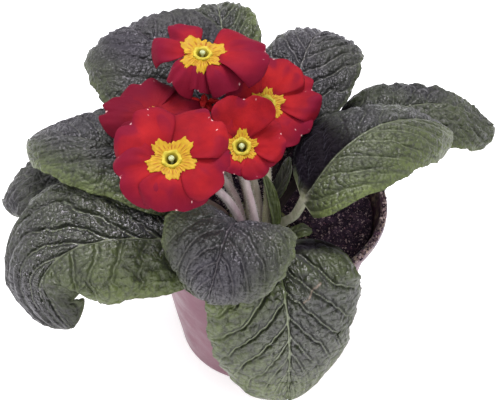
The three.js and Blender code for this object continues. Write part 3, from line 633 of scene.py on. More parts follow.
def pot_material():
    s = Shader("pot", Specular_IOR_Level=0.55)
    colour = s.ramp(s.noise(22, 4), (0.3, rgb(112, 60, 80)), (0.7, rgb(134, 78, 98)))
    colour = s.mix(s.value("shade"), colour, rgb(72, 44, 68))
    dirt = s.times(s.graph(s.noise(170, 5, 0.75), 0.42, 0.56), s.value("dirt"))
    colour = s.mix(dirt, colour, s.ramp(s.noise(420, 4), (0.42, rgb(46, 32, 44)), (0.62, rgb(178, 156, 136))))
    s.colour(colour)
    s.rough(s.graph(s.noise(90, 3), 0.3, 0.7, 0.3, 0.5))
    s.bump(s.noise(60, 3), 0.0012, 0.3)
    s.bump(s.noise(900, 3), 0.0003, 0.3)
    return s.material


def crown_material():
    s = Shader("crown", Roughness=0.8)
    bark = s.noise(180, 5, 0.7)
    s.colour(s.ramp(bark, (0.3, rgb(58, 48, 36)), (0.55, rgb(110, 112, 66)), (0.8, rgb(150, 146, 98))))
    s.bump(s.noise(300, 5, 0.7), 0.0015, 1.0)
    return s.material


# ---------------------------------------------------------------- leaves


def crown_point(azimuth, ring, height):
    a = math.radians(azimuth)
    return (CROWN["x"] + ring * math.cos(a), CROWN["y"] + ring * math.sin(a), height)


def by_half(pair, across):
    return np.where(across < 0, pair[0], pair[1])


class Leaf:
    """A leaf's spine and outline, and the points of its middle surface."""

    STATIONS = 320

    def __init__(self, spec, kind):
        self.__dict__.update(spec)
        self.kind = kind
        foot = crown_point(self.azimuth, self.ring, CROWN["socket_floor"])
        above = crown_point(self.azimuth, self.ring + 0.3, CROWN["top"])
        self.points = spread([foot, above, *self.spine], self.STATIONS + 1)
        self.length = np.linalg.norm(np.diff(self.points, axis=0), axis=1).sum()
        along = unit(np.gradient(self.points, axis=0))
        reach = self.points[-1] - self.points[0]
        sides = carried(along, np.array([reach[1], -reach[0], 0.0]))
        twist = np.radians(np.linspace(-self.roll[0], -self.roll[1], self.STATIONS + 1))[:, None]
        self.sides = sides * np.cos(twist) + np.cross(along, sides) * np.sin(twist)
        self.ups = np.cross(self.sides, along)

    def share(self, place):
        """How far along the blade a place on the spine is, from 0 to 1, and 0 on the stalk."""
        return np.maximum(0, (place - self.start) / (1 - self.start))

    def half(self, s):
        narrow = self.kind["half"]
        peak = self.shoulder / (self.shoulder + self.point)
        outline = s**self.shoulder * (1 - s) ** self.point
        outline = outline / (peak**self.shoulder * (1 - peak) ** self.point)
        return np.maximum(0.8, narrow * np.sqrt(1 - s) + (self.width / 2 - narrow * 0.6) * outline)

    def at(self, rows, place):
        return sample(rows, np.arange(self.STATIONS + 1), np.clip(place, 0, 1) * self.STATIONS)

    def surface(self, place, across, teeth):
        s = np.minimum(1, self.share(place))
        outward = np.abs(across)
        on_blade = s > 0
        size = np.where(on_blade, by_half(self.halves, across), 1)
        reach = self.half(s) * size * (1 + on_blade * teeth * outward**6)
        fold = np.radians(by_half(self.fold, across))
        curl = np.radians(by_half(self.curl, across)) * np.sin(np.pi / 2 * s**0.7) + 1e-3
        x = (np.sin(fold) - np.sin(fold - curl * outward)) / curl * np.sign(across) * reach
        z = (np.cos(fold - curl * outward) - np.cos(fold)) / curl * reach
        spine, side, up = (self.at(rows, place) for rows in (self.points, self.sides, self.ups))
        return spine + side * x[..., None] + up * z[..., None]


STALK_ROWS = 16
LONG_WAVES = 7  # rounds of the margin's large teeth from the blade's foot to its tip


def leaf_grid(leaf, rows, columns):
    """Rows from the stalk's foot to the tip and columns from margin to margin, drawn forward outwards."""
    t = np.linspace(0, 1, rows + 1)
    stalk = leaf.start * np.linspace(0, 1, STALK_ROWS, endpoint=False)
    blade = leaf.start + (1 - leaf.start) * (1 - (1 - t) ** 1.5)
    place, across = np.meshgrid(np.concatenate([stalk, blade]), np.linspace(-1, 1, columns + 1), indexing="ij")
    outward = np.abs(across)
    s = leaf.share(place)
    forward = 1.6 * BLADE["sweep"] * outward**1.3 * s**0.6 * (1 - s)
    place = np.minimum(1, place + (1 - leaf.start) * forward)
    s = np.minimum(1, leaf.share(place))
    return SimpleNamespace(
        place=place, across=across, outward=outward, s=s, on_blade=smooth_step(s, 0, 0.08),
        x=leaf.half(s) * by_half(leaf.halves, across) * outward,
        phase=np.concatenate([np.zeros(STALK_ROWS), LONG_WAVES * t])[:, None] + 0 * place,
        middle=leaf.surface(place, across, 0),
    )


def side_veins(leaf, g, seed):
    """The veins' running number, and how far off the nearest vein and the nearest fork are, in mm."""
    far = g.outward ** by_half(leaf.bow, g.across) * by_half(leaf.sweep, g.across) / 0.5
    root = (g.s - 0.2 * far) / (1 + 0.45 * far)
    # A vein runs out from the midrib at each whole number of rank, and bends forward; the halves alternate.
    rank = root * leaf.kind["veins"] * (1 + 0.18 * root) + by_half((20.45, 10), g.across)
    rank = rank + 0.3 * g.outward * drift(root * 3, g.across * 2, 1.4, seed)
    rank = rank + 0.07 * smooth_step(g.x, 0, 4) * drift(g.x / 6, root * 9, 1.3, seed + 4)
    rank = rank + 0.12 * np.sin(5 * root + seed)
    gap = 1 / steepness(rank, g.middle)
    # How far past the nearest vein, in ranks; a fork leaves its vein on one side only.
    past = (rank + 0.5) % 1 - 0.5
    fork = np.abs(past - 0.3 * smooth_step(g.outward, 0.5, 0.8)) * gap
    return rank, np.abs(past) * gap, fork + 3 * (1 - smooth_step(g.outward, 0.45, 0.6))


def build_leaf(name, spec, kind, material, seed):
    leaf = Leaf(spec, kind)
    g = leaf_grid(leaf, *kind["grid"])
    s, x, across, outward, on_blade = g.s, g.x, g.across, g.outward, g.on_blade
    small = kind["relief"] / GROWN["relief"]
    rank, vein, fork = side_veins(leaf, g, seed)

    # Ribbons swell between the side veins; cross veins cut them into pillows, set like bricks.
    ribbon = np.sqrt(np.clip((vein + 0.15) / 3.3, 0, 1)) - 0.25 * hump(fork, 0.7)
    pillow = 3.6
    brick = x / pillow + 0.5 * (np.floor(rank) % 2) + 0.35 * drift(x / 5, rank, 1.1, seed + 9)
    cross = 0.5 - np.abs(brick % 1 - 0.5)
    ribbon = ribbon * (1 - 0.5 * (1 - np.sqrt(np.clip(2.6 * cross, 0, 1))) * smooth_step(x, 2, 5))
    fork = np.minimum(fork, pillow * cross + 0.22)
    midrib = hump(x, 0.6 * kind["half"])
    calm = 1 - leaf.calm * smooth_step(s, 0.6, 0.85)
    fade = on_blade * (1 - smooth_step(s, 0.93, 1.0)) * (1 - 0.85 * smooth_step(outward, 0.8, 1))
    puff = small * by_half(leaf.puff, across) * calm * fade * smooth_step(x, 0, 3)
    lumps = wander(g.middle, 5.0, seed + 6, 2)
    relief = puff * (1.9 * ribbon - 1.0 + 0.25 * lumps) - 0.7 * small * midrib * on_blade

    # The margin's teeth, the cut in it, and the blade's long waves.
    run = g.place * leaf.length
    tooth = 2 * np.pi * (run / 5.2) + 1.5 * np.sin(run / 7 + seed)
    teeth = 0.006 * np.sin(tooth) + 0.004 * np.sin(2.3 * tooth + 1) + 0.016 * np.cos(2 * np.pi * g.phase)
    side, where, depth, before, after = leaf.nick
    past = s - where - 0.006 * np.sin(11 * across)
    nick = depth * hump(past, np.where(past < 0, before, after)) * ((across > 0) == bool(side))
    points = leaf.surface(g.place, across * (1 - nick * smooth_step(outward, 0.3, 1)), teeth)
    swell = drift(s * 3, across, 1.4, seed + 5)
    rise = BLADE["wave"] * leaf.width / 2 * outward**4 * np.sin(2 * np.pi * (0.31 * g.phase + 0.37 * (across > 0)))
    rise = rise + 0.9 * small * (swell * outward * (1 - outward**2) - smooth_step(outward, 0.9, 1.0))
    points = points + leaf.at(leaf.ups, g.place) * (rise * on_blade)[..., None]

    offset = np.minimum(1, (across * leaf.half(s) / kind["half"]) ** 2)
    stalk = kind["thick"] - BLADE["thick"]
    rib = stalk * np.sqrt(1 - offset) * (1 - s) ** 0.8
    centre = stalk / 2 * np.maximum(0, 1 - 4 * s)
    half_thick = BLADE["thick"] / 2 * (1 - 0.4 * outward**4 * on_blade)
    upper = centre + half_thick + relief
    lower = centre - half_thick - rib + 0.9 * relief * (1 - midrib)

    # Painted shade: darker at the blade's foot, on dark stalks, over whole halves and towards the tip.
    shade = (1 - smooth_step(s / by_half(leaf.shade, across), 0.55, 1.0)) * on_blade
    shade = np.maximum(shade, leaf.dark_stalk * (1 - on_blade))
    shade = np.maximum(shade, by_half(leaf.deep, across) * on_blade)
    shade = np.maximum(shade, leaf.dusk * smooth_step(s, 0.7, 0.92))
    spreading = 1.5 * outward**2.4 if leaf.pale_margin else 0.5 + 0.8 * outward**2
    # Paler parts: real at the margins and the tip, painted light where a whole half faces the lamps.
    light = by_half(leaf.light, across) * spreading + 0.15 * swell + leaf.tip * smooth_step(s, 0.7, 1)
    light = light * on_blade + leaf.pale_stalk * (1 - on_blade)
    shine = by_half(leaf.shine, across) * (0.7 + 0.6 * hump(x, 13)) * (1 - shade)
    scar = 0 * s
    ends = np.array(leaf.scar, float)
    for a, b in zip(ends[:-1], ends[1:]):
        along = np.clip((g.middle - a) @ (b - a) / ((b - a) @ (b - a)), 0, 1)
        off = np.linalg.norm(g.middle - a - along[..., None] * (b - a), axis=-1)
        scar = np.maximum(scar, 0.75 - off / 0.6)
    values = dict(
        vein=vein, branch=fork, blade=on_blade * small, shade=0.95 * shade,
        middle=hump(x, 0.9 * (1.15 - s)) * (1 - 0.4 * s) * on_blade,
        rim=smooth_step(outward, 0.86, 1) * on_blade,
        show=by_half(leaf.show, across) * (1 - 0.5 * smooth_step(outward, 0.55, 1.0)) * calm,
        stalk=(1 - on_blade) * (1 - smooth_step(x, 1.1 * kind["half"], 2 * kind["half"])) * (1 - shade),
        light=np.clip(light, 0, 1), shine=np.clip(shine, 0, 1), scar=np.clip(scar, 0, 1),
        # The violet painted sheen fades towards the margins.
        bloom=leaf.bloom * (1.1 - 0.7 * outward**2), coarse=by_half(leaf.coarse, across), under=0 * s,
    )
    normal = normals(points)
    piece = Piece(*values)
    piece.add_sheet(
        points + normal * upper[..., None], points + normal * lower[..., None],
        lower_values=dict(under=on_blade), **values,
    )
    piece.build(name, material)


# ---------------------------------------------------------------- flowers


class Flower:
    """A flower's face: the heights of its petals over the plane of its throat."""

    def __init__(self, spec):
        self.__dict__.update(spec)
        self.petals = [Petal(*row) for row in spec["petals"]]
        lean, towards = math.radians(self.lean), math.radians(self.towards)
        axis = np.array([math.sin(lean) * math.cos(towards), math.sin(lean) * math.sin(towards), math.cos(lean)])
        x = unit(np.array([1.0, 0, 0]) - axis * axis[0])
        self.frame = np.array([x, np.cross(axis, x), axis])
        self.axis = axis

    def place(self, points):
        """Points of the flower's own frame, in the row frame."""
        return points @ self.frame + np.array(self.throat)

    def rise(self, radius, angle):
        weights = slope = 0
        for petal in self.petals:
            weight = np.exp(3 * np.cos(angle - math.radians(petal.towards)))
            weights = weights + weight
            slope = slope + weight * math.tan(math.radians(petal.lift))
        out = np.maximum(0, radius - FLOWER["root"])
        return slope / weights * (out - 1.5 * (1 - np.exp(-out / 1.5)))

    def face(self, number, x, y, along, across):
        """Points of a petal at x across it and y out from the throat."""
        petal = self.petals[number]
        radius, angle = np.hypot(x, y), math.radians(petal.towards) - np.arctan2(x, y)
        outer = smooth_step(radius, 6, 16)
        overlap = across * (0.7 * smooth_step(radius, 5, 11) + 0.4 * outer)
        ripple = 0.7 * outer * np.sin(3.1 * across + 2.3 * number + 5 * along)
        bend = -petal.droop * along**2.2 - petal.roll * across**2 * along
        return polar(radius, angle, self.rise(radius, angle) + overlap + ripple + bend)

    def half_width(self, number, along):
        return self.petals[number].width / 2 * (0.1 + 0.9 * np.sin(np.pi / 2 * np.minimum(1, along * 1.25)))

    def reach(self, number, across):
        """How far the petal reaches past its root, at a place across it."""
        petal = self.petals[number]
        end = 1 - petal.nick * hump(across, 0.2) - 0.55 * (1 - np.sqrt(1 - 0.97 * across**2))
        return (petal.length - FLOWER["root"]) * end

    def petal(self, number, along, across):
        y = FLOWER["root"] + along * self.reach(number, across)
        return self.face(number, across * self.half_width(number, along), y, along, across)

    def on_petal(self, number, x, y):
        """The same face, found from x and y by closing in on the place along and across it."""
        out = y - FLOWER["root"]
        along = np.clip(out / (self.petals[number].length - FLOWER["root"]), 0, 1)
        for _ in range(4):
            across = np.clip(x / self.half_width(number, along), -1, 1)
            along = np.clip(out / self.reach(number, across), 0, 1)
        return self.face(number, x, y, along, across)


def build_petals(name, flower, material, seed):
    piece = Piece("fold", "root", "line", "fleck")
    along, across = np.meshgrid(np.linspace(0, 1, 49), np.linspace(-1, 1, 49), indexing="ij")
    fan = across * (1.1 - 0.3 * along)
    edge = np.maximum(np.abs(across) ** 3, along**4)
    middle = along * (1 - 0.5 * along)
    for number, petal in enumerate(flower.petals):
        points = flower.petal(number, along, across)
        rng = np.random.default_rng(seed + number)
        crimp = drift(across * 4, along * 3, 3.0, seed + number, c=number)
        points[..., 2] += 0.6 * crimp * along + 0.35 * edge * np.sin(9 * across + 4 * number)
        points[..., 2] += 0.12 * np.cos(20 * fan) * middle
        half = normals(points) * FLOWER["petal"] / 2 * (1 - 0.5 * edge)[..., None]
        line = (1 - smooth_step(np.abs(np.sin(13 * fan + 2 * crimp)), 0.0, 0.35)) * middle
        # Lower petals are darker: painted shade, as the light falls from above.
        low = 0.5 - 0.5 * math.sin(math.radians(petal.towards + 20))
        tint = rng.uniform(0, 0.2) + 0.6 * flower.mauve + 0.7 * low
        fold = np.clip((0.5 * smooth_step(crimp, 0.2, 0.9) + tint) * along + 0.3 * edge, 0, 1)
        fleck = hump(across, 0.06) * smooth_step(along, 0.93, 1)
        for side, out in rng.uniform((-0.95, 0.78), (0.95, 0.98), (2, 2)):
            fleck = fleck + hump(across - side, 0.018) * hump(along - out, 0.04)
        # A shaded flower's petals take the root's dark colour all over, as painted shade.
        piece.add_sheet(
            flower.place(points + half), flower.place(points - half), fold=fold, line=line,
            root=np.maximum(1 - smooth_step(along, 0.0, 0.35), flower.dusk), fleck=np.clip(fleck, 0, 1),
        )
    piece.build("petals_" + name, material)


# Distance from the axis and height of the eye's raised ring and its tube, from the outside in.
THROAT = np.array([
    (2.3, -9), (2.3, -0.4), (3.5, 0.5), (3.95, 0.9), (3.8, 1.3), (3.3, 1.5),
    (2.7, 1.3), (2.25, 0.5), (1.95, -0.5), (1.75, -1.8), (1.7, -7), (0.0, -7),
])
# Place across a lobe and end of its orange streaks.
STREAKS = ((0.0, 0.85), (-0.36, 0.7), (0.36, 0.7), (-0.68, 0.75), (0.68, 0.75), (-0.98, 0.9), (0.98, 0.9))


def build_eye(name, flower, material, seed):
    """The toothed yellow lobes on the petals, the raised ring round the throat, and the tube."""
    piece = Piece("streak", "ring", "deep")
    rng = np.random.default_rng(seed)
    root = FLOWER["root"]
    angles = [petal.towards for petal in flower.petals]
    v, w = np.meshgrid(np.linspace(0, 1, 21), np.linspace(-1, 1, 41), indexing="ij")
    for number, own in enumerate(angles):
        to_next = [((other - own) % 360) for other in angles if other != own]
        left, right = min(to_next) / 2, (360 - max(to_next)) / 2
        turn = np.radians(by_half((left, right), w)) * w
        spikes = np.abs(((w + 0.06 * np.sin(5 * w + number)) * 1.5 + 0.5) % 1 - 0.5) * 2
        far = flower.eye * rng.uniform(0.92, 1.06) * (1.05 - 0.34 * np.abs(w) ** 1.6 - 0.15 * (1 - spikes) ** 1.2)
        far = far * (1 + 0.035 * np.sin(23 * w + 3 * number))
        radius = root + v * (far - root)
        points = flower.on_petal(number, radius * np.sin(turn), radius * np.cos(turn))
        ridge = 0.4 * np.cos(w * 4.7) ** 2 * (1 - v) + 0.6 * np.cos(w * 9.5) ** 2 * v * (1.2 - v)
        points[..., 2] += 0.65 + ridge - 0.25 * v
        streak = sum(
            hump(w - place, 0.07) * smooth_step(v, 0.1, 0.35) * (1 - smooth_step(v, end - 0.25, end))
            for place, end in STREAKS
        )
        piece.add_sheet(
            flower.place(points), flower.place(points - (0, 0, 0.3)),
            streak=np.clip(streak, 0, 1), ring=0.35 * (1 - smooth_step(v, 0, 0.3)),
        )
    steps = np.arange(len(THROAT))
    out, up = sample(THROAT, steps, np.linspace(0, steps[-1], 45)).T[..., None]
    angle = ring_angles(60)
    lobes = np.cos(5 * (angle - math.radians(angles[0])))
    crest = hump(out - 3.5, 0.6) * (up > 0)
    radius = out + 0.25 * crest * (lobes + 0.7 * np.cos(10 * angle + 1))
    height = up + 0.25 * crest * lobes + np.where(up > 0, flower.rise(3.9, angle), 0)
    piece.add_round(
        flower.place(polar(radius, angle, height)), flip=True,
        ring=np.where(up > -1, 1.0, 0.6) + 0 * radius,
        deep=np.clip((2.3 - up) / 3, 0, 1) * (out < 2.9) + 0 * radius,
    )
    piece.build("eye_" + name, material)


def build_pistil(name, flower, material):
    """A thin style over the first half of the rows, and its round dimpled head over the second."""
    angle, t = np.meshgrid(ring_angles(28), np.linspace(0, 1, 26))
    head, style = 1.2, 0.5
    theta = np.clip((t - 0.5) / 0.5, 0, 1) * np.pi
    radius = np.where(t < 0.5, style, np.maximum(head * np.sin(theta), style * (theta < 1)))
    height = np.where(t < 0.5, -6.6 + t / 0.5 * 7, 1.5 - head * 0.85 * np.cos(theta))
    dimple = 0.3 * hump(radius, 0.6) * (theta > 2)
    piece = Piece()
    piece.add_round(flower.place(polar(radius, angle, height - dimple)))
    piece.build("pistil_" + name, material)


def tube(points, radius, sides):
    """Grid of a round tube along points, with its outward directions."""
    along = unit(np.gradient(points, axis=0))
    side = carried(along, np.array([1.0, 0.1, 0]))
    other = np.cross(along, side)
    angle = ring_angles(sides)[:, None]
    out = side[:, None] * np.cos(angle) + other[:, None] * np.sin(angle)
    return points[:, None] + out * np.asarray(radius)[..., None], out


def stalk_line(azimuth, ring, points, count):
    """A flower's stalk from the foot of its socket in the crown through points."""
    foot = [crown_point(azimuth, ring, height) for height in (CROWN["socket_floor"], CROWN["top"] + 2)]
    return spread([*foot, *points], count)


def add_hairs(piece, roots, out, count, length, rng, **values):
    """Fine tapering hairs on a surface."""
    roots, out = roots.reshape(-1, 3), out.reshape(-1, 3)
    pick = rng.integers(0, len(roots), count)
    start, out = roots[pick], out[pick]
    lean = unit(out + rng.normal(0, 0.35, out.shape))
    side = unit(np.cross(lean, rng.normal(size=lean.shape)))
    other = np.cross(lean, side)
    reach = length * rng.uniform(0.5, 1.1, (count, 1))
    width, sunk = 0.07, 0.15
    corners = [start + width * (side * math.cos(a) + other * math.sin(a)) - sunk * out for a in (0, 2.1, 4.2)]
    vertices = np.stack([*corners, start + lean * reach], 1)
    base = np.arange(count)[:, None] * 4
    faces = np.concatenate([base + np.array(f) for f in ([0, 1, 3], [1, 2, 3], [2, 0, 3])])
    piece.add(vertices, [faces], **values)


def add_calyx(piece, place, inside, radius, bore, length, tooth, rng):
    """A ribbed cup with pointed teeth, open at the top."""
    angle = ring_angles(80)
    tip = np.abs((angle * 5 / (2 * np.pi) + 0.25) % 1 - 0.5) * 2
    floor = 3
    t = np.linspace(0, 1, 22)[:, None]
    top = inside + length - tooth * (1 - tip) ** 0.8
    base = inside - floor
    height = base + t * (top - base)
    up = (height - base) / (length + floor)
    round_out = radius * (0.5 + 0.5 * np.sin(np.pi / 2 * np.minimum(1, up * 3.4))) - 0.5 * up
    rib = 0.38 * np.abs(np.cos(2.5 * angle - 0.8)) ** 6 * np.sin(np.pi * np.clip(up * 1.15, 0, 1))
    outer = np.maximum(1.7, round_out - 0.25 + rib)
    inner = np.minimum(outer - 0.25, bore + 0.1)
    wall, lining = polar(outer, angle, height), polar(inner, angle, height)
    pink = np.clip(rib * 0.4, 0, 1)
    piece.add_round(place(np.concatenate([wall, lining[::-1]])), pink=np.concatenate([pink, 0 * pink]))
    out = place(polar(1.0, angle, 0 * height)) - place(np.zeros(3))
    add_hairs(piece, place(wall), out, 260, 1.0, rng, hair=1.0)


def build_scape(name, flower, material, seed):
    rng = np.random.default_rng(seed)
    calyx_top = FLOWER["tube"] + FLOWER["gap"]
    base = calyx_top + FLOWER["seat"]
    below = [np.array(flower.throat) - flower.axis * depth for depth in (base + 4, base)]
    rows, sides = 90, 20
    line = stalk_line(flower.azimuth, CROWN["scape_ring"], [*flower.stalk, *below], rows)
    t = np.linspace(0, 1, rows)[:, None]
    angle = ring_angles(sides)
    radius = 1.62 + 0.1 * np.cos(5 * angle + 3 * t) + 0.07 * np.sin(9 * t + seed) + 0.25 * (1 - t) ** 2
    grid, out = tube(line, radius, sides)
    piece = Piece("pink", "hair", "dim")
    piece.add_round(grid, pink=np.clip(flower.pink * (1.1 - 0.5 * t) + 0.2 * np.sin(angle + 2), 0, 1))
    add_hairs(piece, grid[8:-3], out[8:-3], 900, 1.3, rng, hair=1.0, pink=0.5)
    add_calyx(piece, flower.place, -calyx_top, 3.9, 2.6, 8, 4, rng)
    piece.paint_shade_above(SHADE_HEIGHT.get(name, 500))
    piece.build("scape_" + name, material)


def build_bud(petal_material, stalk_material):
    x, y, z = BUD["throat"]

    def place(points):
        return points + np.array([x, y, z])

    angle, t = np.meshgrid(ring_angles(60), np.linspace(0, 1, 40))
    furled = 2.5 * angle + 5 * t
    radius = 2.35 * np.sin(np.pi * np.clip(0.35 + 0.65 * t, 0, 1)) ** 0.6
    radius = radius * (1 + 0.1 * np.abs(np.sin(furled))) * (t > 0)
    piece = Piece("fold", "root", "line", "fleck")
    piece.add_round(place(polar(radius, angle, -4.6 + 12.4 * t)), line=np.abs(np.cos(furled)) ** 4, fleck=0.3 * t)
    rows, sides = 24, 14
    t = np.linspace(0, 1, rows)
    radius = 1.15 * np.sin(np.pi * t)[:, None] ** 0.6 * (1 + 0.35 * np.cos(2 * ring_angles(sides)))
    for turn, reach, lift in BUD["petals"]:
        out = np.array([math.cos(math.radians(turn)), math.sin(math.radians(turn)), 0])
        heights = ((1, 1), (0.55 * reach, lift), (reach, lift + 0.6), (reach + 0.8, lift - 1))
        grid, _ = tube(spread([far * out + (0, 0, up) for far, up in heights], rows), radius, sides)
        piece.add_round(place(grid), fleck=np.repeat(0.64 * t**2, sides))
    piece.build("petals_bud", petal_material)

    rng = np.random.default_rng(77)
    stem = Piece("pink", "hair", "dim")
    line = stalk_line(BUD["azimuth"], BUD["ring"], [*BUD["stalk"], (x, y, z - 11), (x, y, z - 6.5)], 60)
    grid, out = tube(line, np.full((60, 12), 1.1), 12)
    stem.add_round(grid, pink=0.4)
    add_hairs(stem, grid[8:-3], out[8:-3], 300, 1.0, rng, hair=1.0)
    add_calyx(stem, place, -5, 3.3, 2.7, 4.2, 2.2, rng)
    stem.paint_shade_above(SHADE_HEIGHT["bud"])
    stem.build("scape_bud", stalk_material)


# ---------------------------------------------------------------- pot and soil


def pot_radius(height):
    return POT["foot"] + (POT["mouth"] - POT["foot"]) * height / POT["height"]


def build_pot(material):
    names = ("foot", "height", "wall", "lift", "ring", "hub", "slope")
    foot, top, wall, lift, ring, hub, slope = (POT[name] for name in names)
    inner_floor, lip_foot, lip_out = POT["floor"] + lift, top - LIP["height"], pot_radius(top) + LIP["width"]
    inner = [(pot_radius(h) - wall, h) for h in np.linspace(top, inner_floor, 40)]
    inner += [(hub + slope, inner_floor), (hub, POT["floor"]), (0, POT["floor"])]
    profile = np.array([
        (0, 0), (hub, 0), (hub + slope, lift), (foot - ring - slope, lift), (foot - ring, 0), (foot - 0.6, 0),
        *((pot_radius(h), h) for h in np.linspace(0, lip_foot, 40)),
        (lip_out - 0.7, lip_foot + 0.4), (lip_out, lip_foot + 1.2),
        (lip_out, top - 1.0), (lip_out - 0.4, top - 0.3), (lip_out - 1.0, top),
        *inner,
    ])
    angle = ring_angles(180)
    height = profile[:, 1:] + 0 * angle
    up = np.clip(height / top, 0, 1)
    dents = 0.45 * np.sin(3 * angle + 1) * up**2 + 0.25 * np.sin(7 * angle + 9 * up)
    radius = profile[:, :1] + dents * (profile[:, :1] > 30) * smooth_step(height, 2, 20) * 0.8 - 0.3
    inside = (np.arange(len(profile)) >= len(profile) - len(inner))[:, None]
    # Dirt and shadow lie on the right of the lip, and shade down the inside.
    right = 0.5 + 0.5 * np.cos(angle - 0.2)
    dirt = smooth_step(height, 78, 86) * (0.2 + 0.3 * right) + smooth_step(height, 87.2, 87.9) * right
    facing = smooth_step(np.cos(angle + 0.15), 0.55, 0.9)
    shade = np.maximum(0.85 * inside, 0.4 * facing * smooth_step(height, 50, 80))
    shade = np.maximum(shade, 0.9 * smooth_step(height, 82, 84) * smooth_step(np.cos(angle - 0.05), 0.72, 0.88))
    piece = Piece("shade", "dirt")
    piece.add_round(
        polar(np.maximum(radius, 0), angle, height),
        shade=shade, dirt=np.clip(dirt + inside * smooth_step(height, 70, 80), 0, 1),
    )
    piece.build("pot", material)


GOLDEN = 1.618
ICO = np.array([
    (0, 1, GOLDEN), (0, -1, GOLDEN), (0, 1, -GOLDEN), (0, -1, -GOLDEN), (1, GOLDEN, 0), (-1, GOLDEN, 0),
    (1, -GOLDEN, 0), (-1, -GOLDEN, 0), (GOLDEN, 0, 1), (-GOLDEN, 0, 1), (GOLDEN, 0, -1), (-GOLDEN, 0, -1),
]) / 1.9
ICO_FACES = np.array([
    (0, 1, 8), (0, 8, 4), (0, 4, 5), (0, 5, 9), (0, 9, 1), (1, 6, 8), (8, 6, 10), (8, 10, 4), (4, 10, 2),
    (4, 2, 5), (5, 2, 11), (5, 11, 9), (9, 11, 7), (9, 7, 1), (1, 7, 6), (3, 2, 10), (3, 10, 6), (3, 6, 7),
    (3, 7, 11), (3, 11, 2),
])


def crumb_shapes(size, low, high, rng):
    """Uneven lumps, each stretched by low to high along the three axes."""
    stretch = rng.uniform(low, high, (len(size), 1, 3)) * size[:, None, None]
    return ICO[None] * stretch * rng.uniform(0.8, 1.2, (len(size), len(ICO), 1))


def add_crumbs(piece, shapes, centres, faces, fleck):
    base = np.arange(len(shapes))[:, None, None] * len(ICO)
    piece.add(shapes + centres[:, None], [(base + faces[None]).reshape(-1, 3)], fleck=np.repeat(fleck, len(ICO)))


def soil_mounds(x, y):
    return 1.1 * (np.sin(0.31 * x + 1) * np.cos(0.27 * y) + 0.6 * np.sin(0.53 * y - 0.41 * x))


def build_soil(material):
    inner = pot_radius(SOIL_TOP) - POT["wall"] - 0.7
    angle = ring_angles(190)
    r = np.linspace(0, 1, 78)[:, None] ** 0.8 * inner
    top = polar(r, angle, 0 * r)
    x, y = top[..., 0], top[..., 1]
    grain = 0.5 * wander(top, 4.5, 1, 3) + 0.35 * wander(top, 1.8, 2, 2)
    edge = smooth_step(r, inner - 6, inner)
    top[..., 2] = SOIL_TOP + soil_mounds(x, y) * (1 - edge) + grain + 0.8 * edge
    floor = 5.4
    wall = [polar(pot_radius(h) - POT["wall"] - 0.8, angle, h) for h in (60, 30, 6, floor)]
    middle = np.zeros((1, len(angle), 3)) + (0, 0, floor)
    piece = Piece("fleck")
    piece.add_round(np.concatenate([top, np.array(wall), middle]))

    rng = np.random.default_rng(5)
    crumbs = 5200
    spot = np.sqrt(rng.uniform(0, 1, crumbs)) * (inner - 1.2)
    turn = rng.uniform(0, 2 * np.pi, crumbs)
    size = rng.gamma(2.2, 0.2, crumbs).clip(0.2, 1.3)
    centres = polar(spot, turn, 0 * spot)
    centres[:, 2] = SOIL_TOP + soil_mounds(centres[:, 0], centres[:, 1]) + rng.uniform(-0.1, 0.6, crumbs)
    shapes = crumb_shapes(size, 0.55, 1.25, rng)
    # Each is turned by mirroring it, which also turns its faces inside out.
    across = unit(rng.normal(size=(crumbs, 3)))[:, None]
    shapes = shapes - 2 * across * np.sum(shapes * across, -1, keepdims=True)
    pale = (rng.uniform(0, 1, crumbs) < 0.45) * (size < 0.75) * rng.uniform(0.3, 1, crumbs)
    add_crumbs(piece, shapes, centres, ICO_FACES[:, ::-1], pale)

    # Crumbs in patches on the right of the pot's lip.
    stray = 520
    patches = [-49, -44, -36, -24, -12, -4, 6, 14]
    turn = np.radians(rng.choice(patches, stray) + rng.normal(0, 3.5, stray))
    spot = pot_radius(POT["height"]) + rng.normal(0.1, 0.55, stray).clip(-1.2, 1.2)
    size = rng.gamma(2.2, 0.16, stray).clip(0.15, 0.8)
    shapes = crumb_shapes(size, 0.6, 1.2, rng)
    centres = polar(spot, turn, POT["height"] - 0.1 + 0.3 * size)
    add_crumbs(piece, shapes, centres, ICO_FACES, rng.uniform(0.2, 1, stray))
    piece.build("soil", material)


# ---------------------------------------------------------------- the plant in its pot

leaf_look = leaf_material()
petal_look = petal_material()
eye_look = eye_material()
pistil_look = pistil_material()
stalk_look = stalk_material()

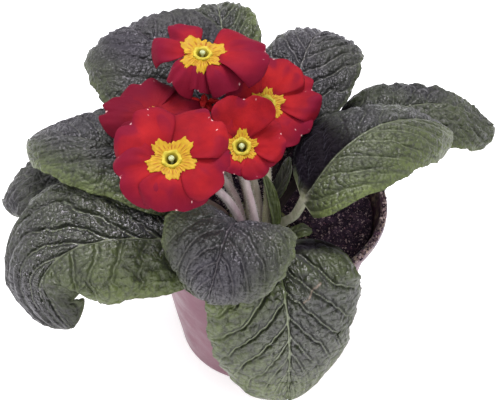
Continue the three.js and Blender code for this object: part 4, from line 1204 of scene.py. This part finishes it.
for leaves, usual, kind in ((LEAVES, LEAF, GROWN), (YOUNG_LEAVES, YOUNG_LEAF, YOUNG)):
    for index, (name, spec) in enumerate(leaves.items()):
        build_leaf(name, {**usual, **spec}, kind, leaf_look, kind["seed"] + index)
for index, (name, spec) in enumerate(FLOWERS.items()):
    flower = Flower(spec)
    build_petals(name, flower, petal_look, 41 + 7 * index)
    build_eye(name, flower, eye_look, 91 + index)
    build_pistil(name, flower, pistil_look)
    build_scape(name, flower, stalk_look, 61 + index)
build_bud(petal_look, stalk_look)
build_pot(pot_material())
build_soil(soil_material())

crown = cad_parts["crown"]
crown.data.materials.clear()
crown.data.materials.append(crown_material())

# ---------------------------------------------------------------- floor, light and camera


def build_floor():
    mesh = bpy.data.meshes.new("floor")
    reach = 3.0
    corners = [(-reach, -reach, 0), (reach, -reach, 0), (reach, reach, 0), (-reach, reach, 0)]
    mesh.from_pydata(corners, [], [(0, 1, 2, 3)])
    s = Shader(
        "floor", Roughness=0.9, Specular_IOR_Level=0.1, Emission_Strength=0.55, Emission_Color=(1.0, 1.0, 1.0)
    )
    s.colour(s.ramp(s.noise(8, 2), (0.3, (0.86, 0.86, 0.87)), (0.7, (0.89, 0.89, 0.89))))
    mesh.materials.append(s.material)
    floor = put("floor", mesh)


def area_light(name, place, size, energy, colour=(1, 1, 1)):
    """A round lamp aimed at the plant."""
    light = bpy.data.lights.new(name, "AREA")
    light.shape = "DISK"
    light.size = size
    light.energy = energy
    light.color = colour
    lamp = put(name, light)
    lamp.location = place
    lamp.rotation_euler = (Vector((0, 0, 0.1)) - Vector(place)).to_track_quat("-Z", "Y").to_euler()


build_floor()
area_light("key", (-0.1, 0.4, 1.1), 0.45, 12.5, (0.96, 0.93, 1))
area_light("front", (0.35, -0.8, 0.95), 0.8, 8)
area_light("left", (-0.9, -0.1, 0.7), 0.7, 3.5)

world = bpy.data.worlds.new("studio")
world.use_nodes = True
world.node_tree.nodes["Background"].inputs["Color"].default_value = (1, 1, 1, 1)
world.node_tree.nodes["Background"].inputs["Strength"].default_value = 0.45
bpy.context.scene.world = world
bpy.context.scene.view_settings.view_transform = "Standard"

camera_data = bpy.data.cameras.new("camera")
camera_data.sensor_width = 36
camera_data.lens = 98.2
camera = put("camera", camera_data)
camera.location = (0, -0.4149, 0.5167)
aim = Vector((-0.00595, -0.0049, 0.09)) - camera.location
roll = Quaternion((0, 0, 1), math.radians(3.8))
camera.rotation_euler = (aim.to_track_quat("-Z", "Y") @ roll).to_euler()
bpy.context.scene.camera = camera
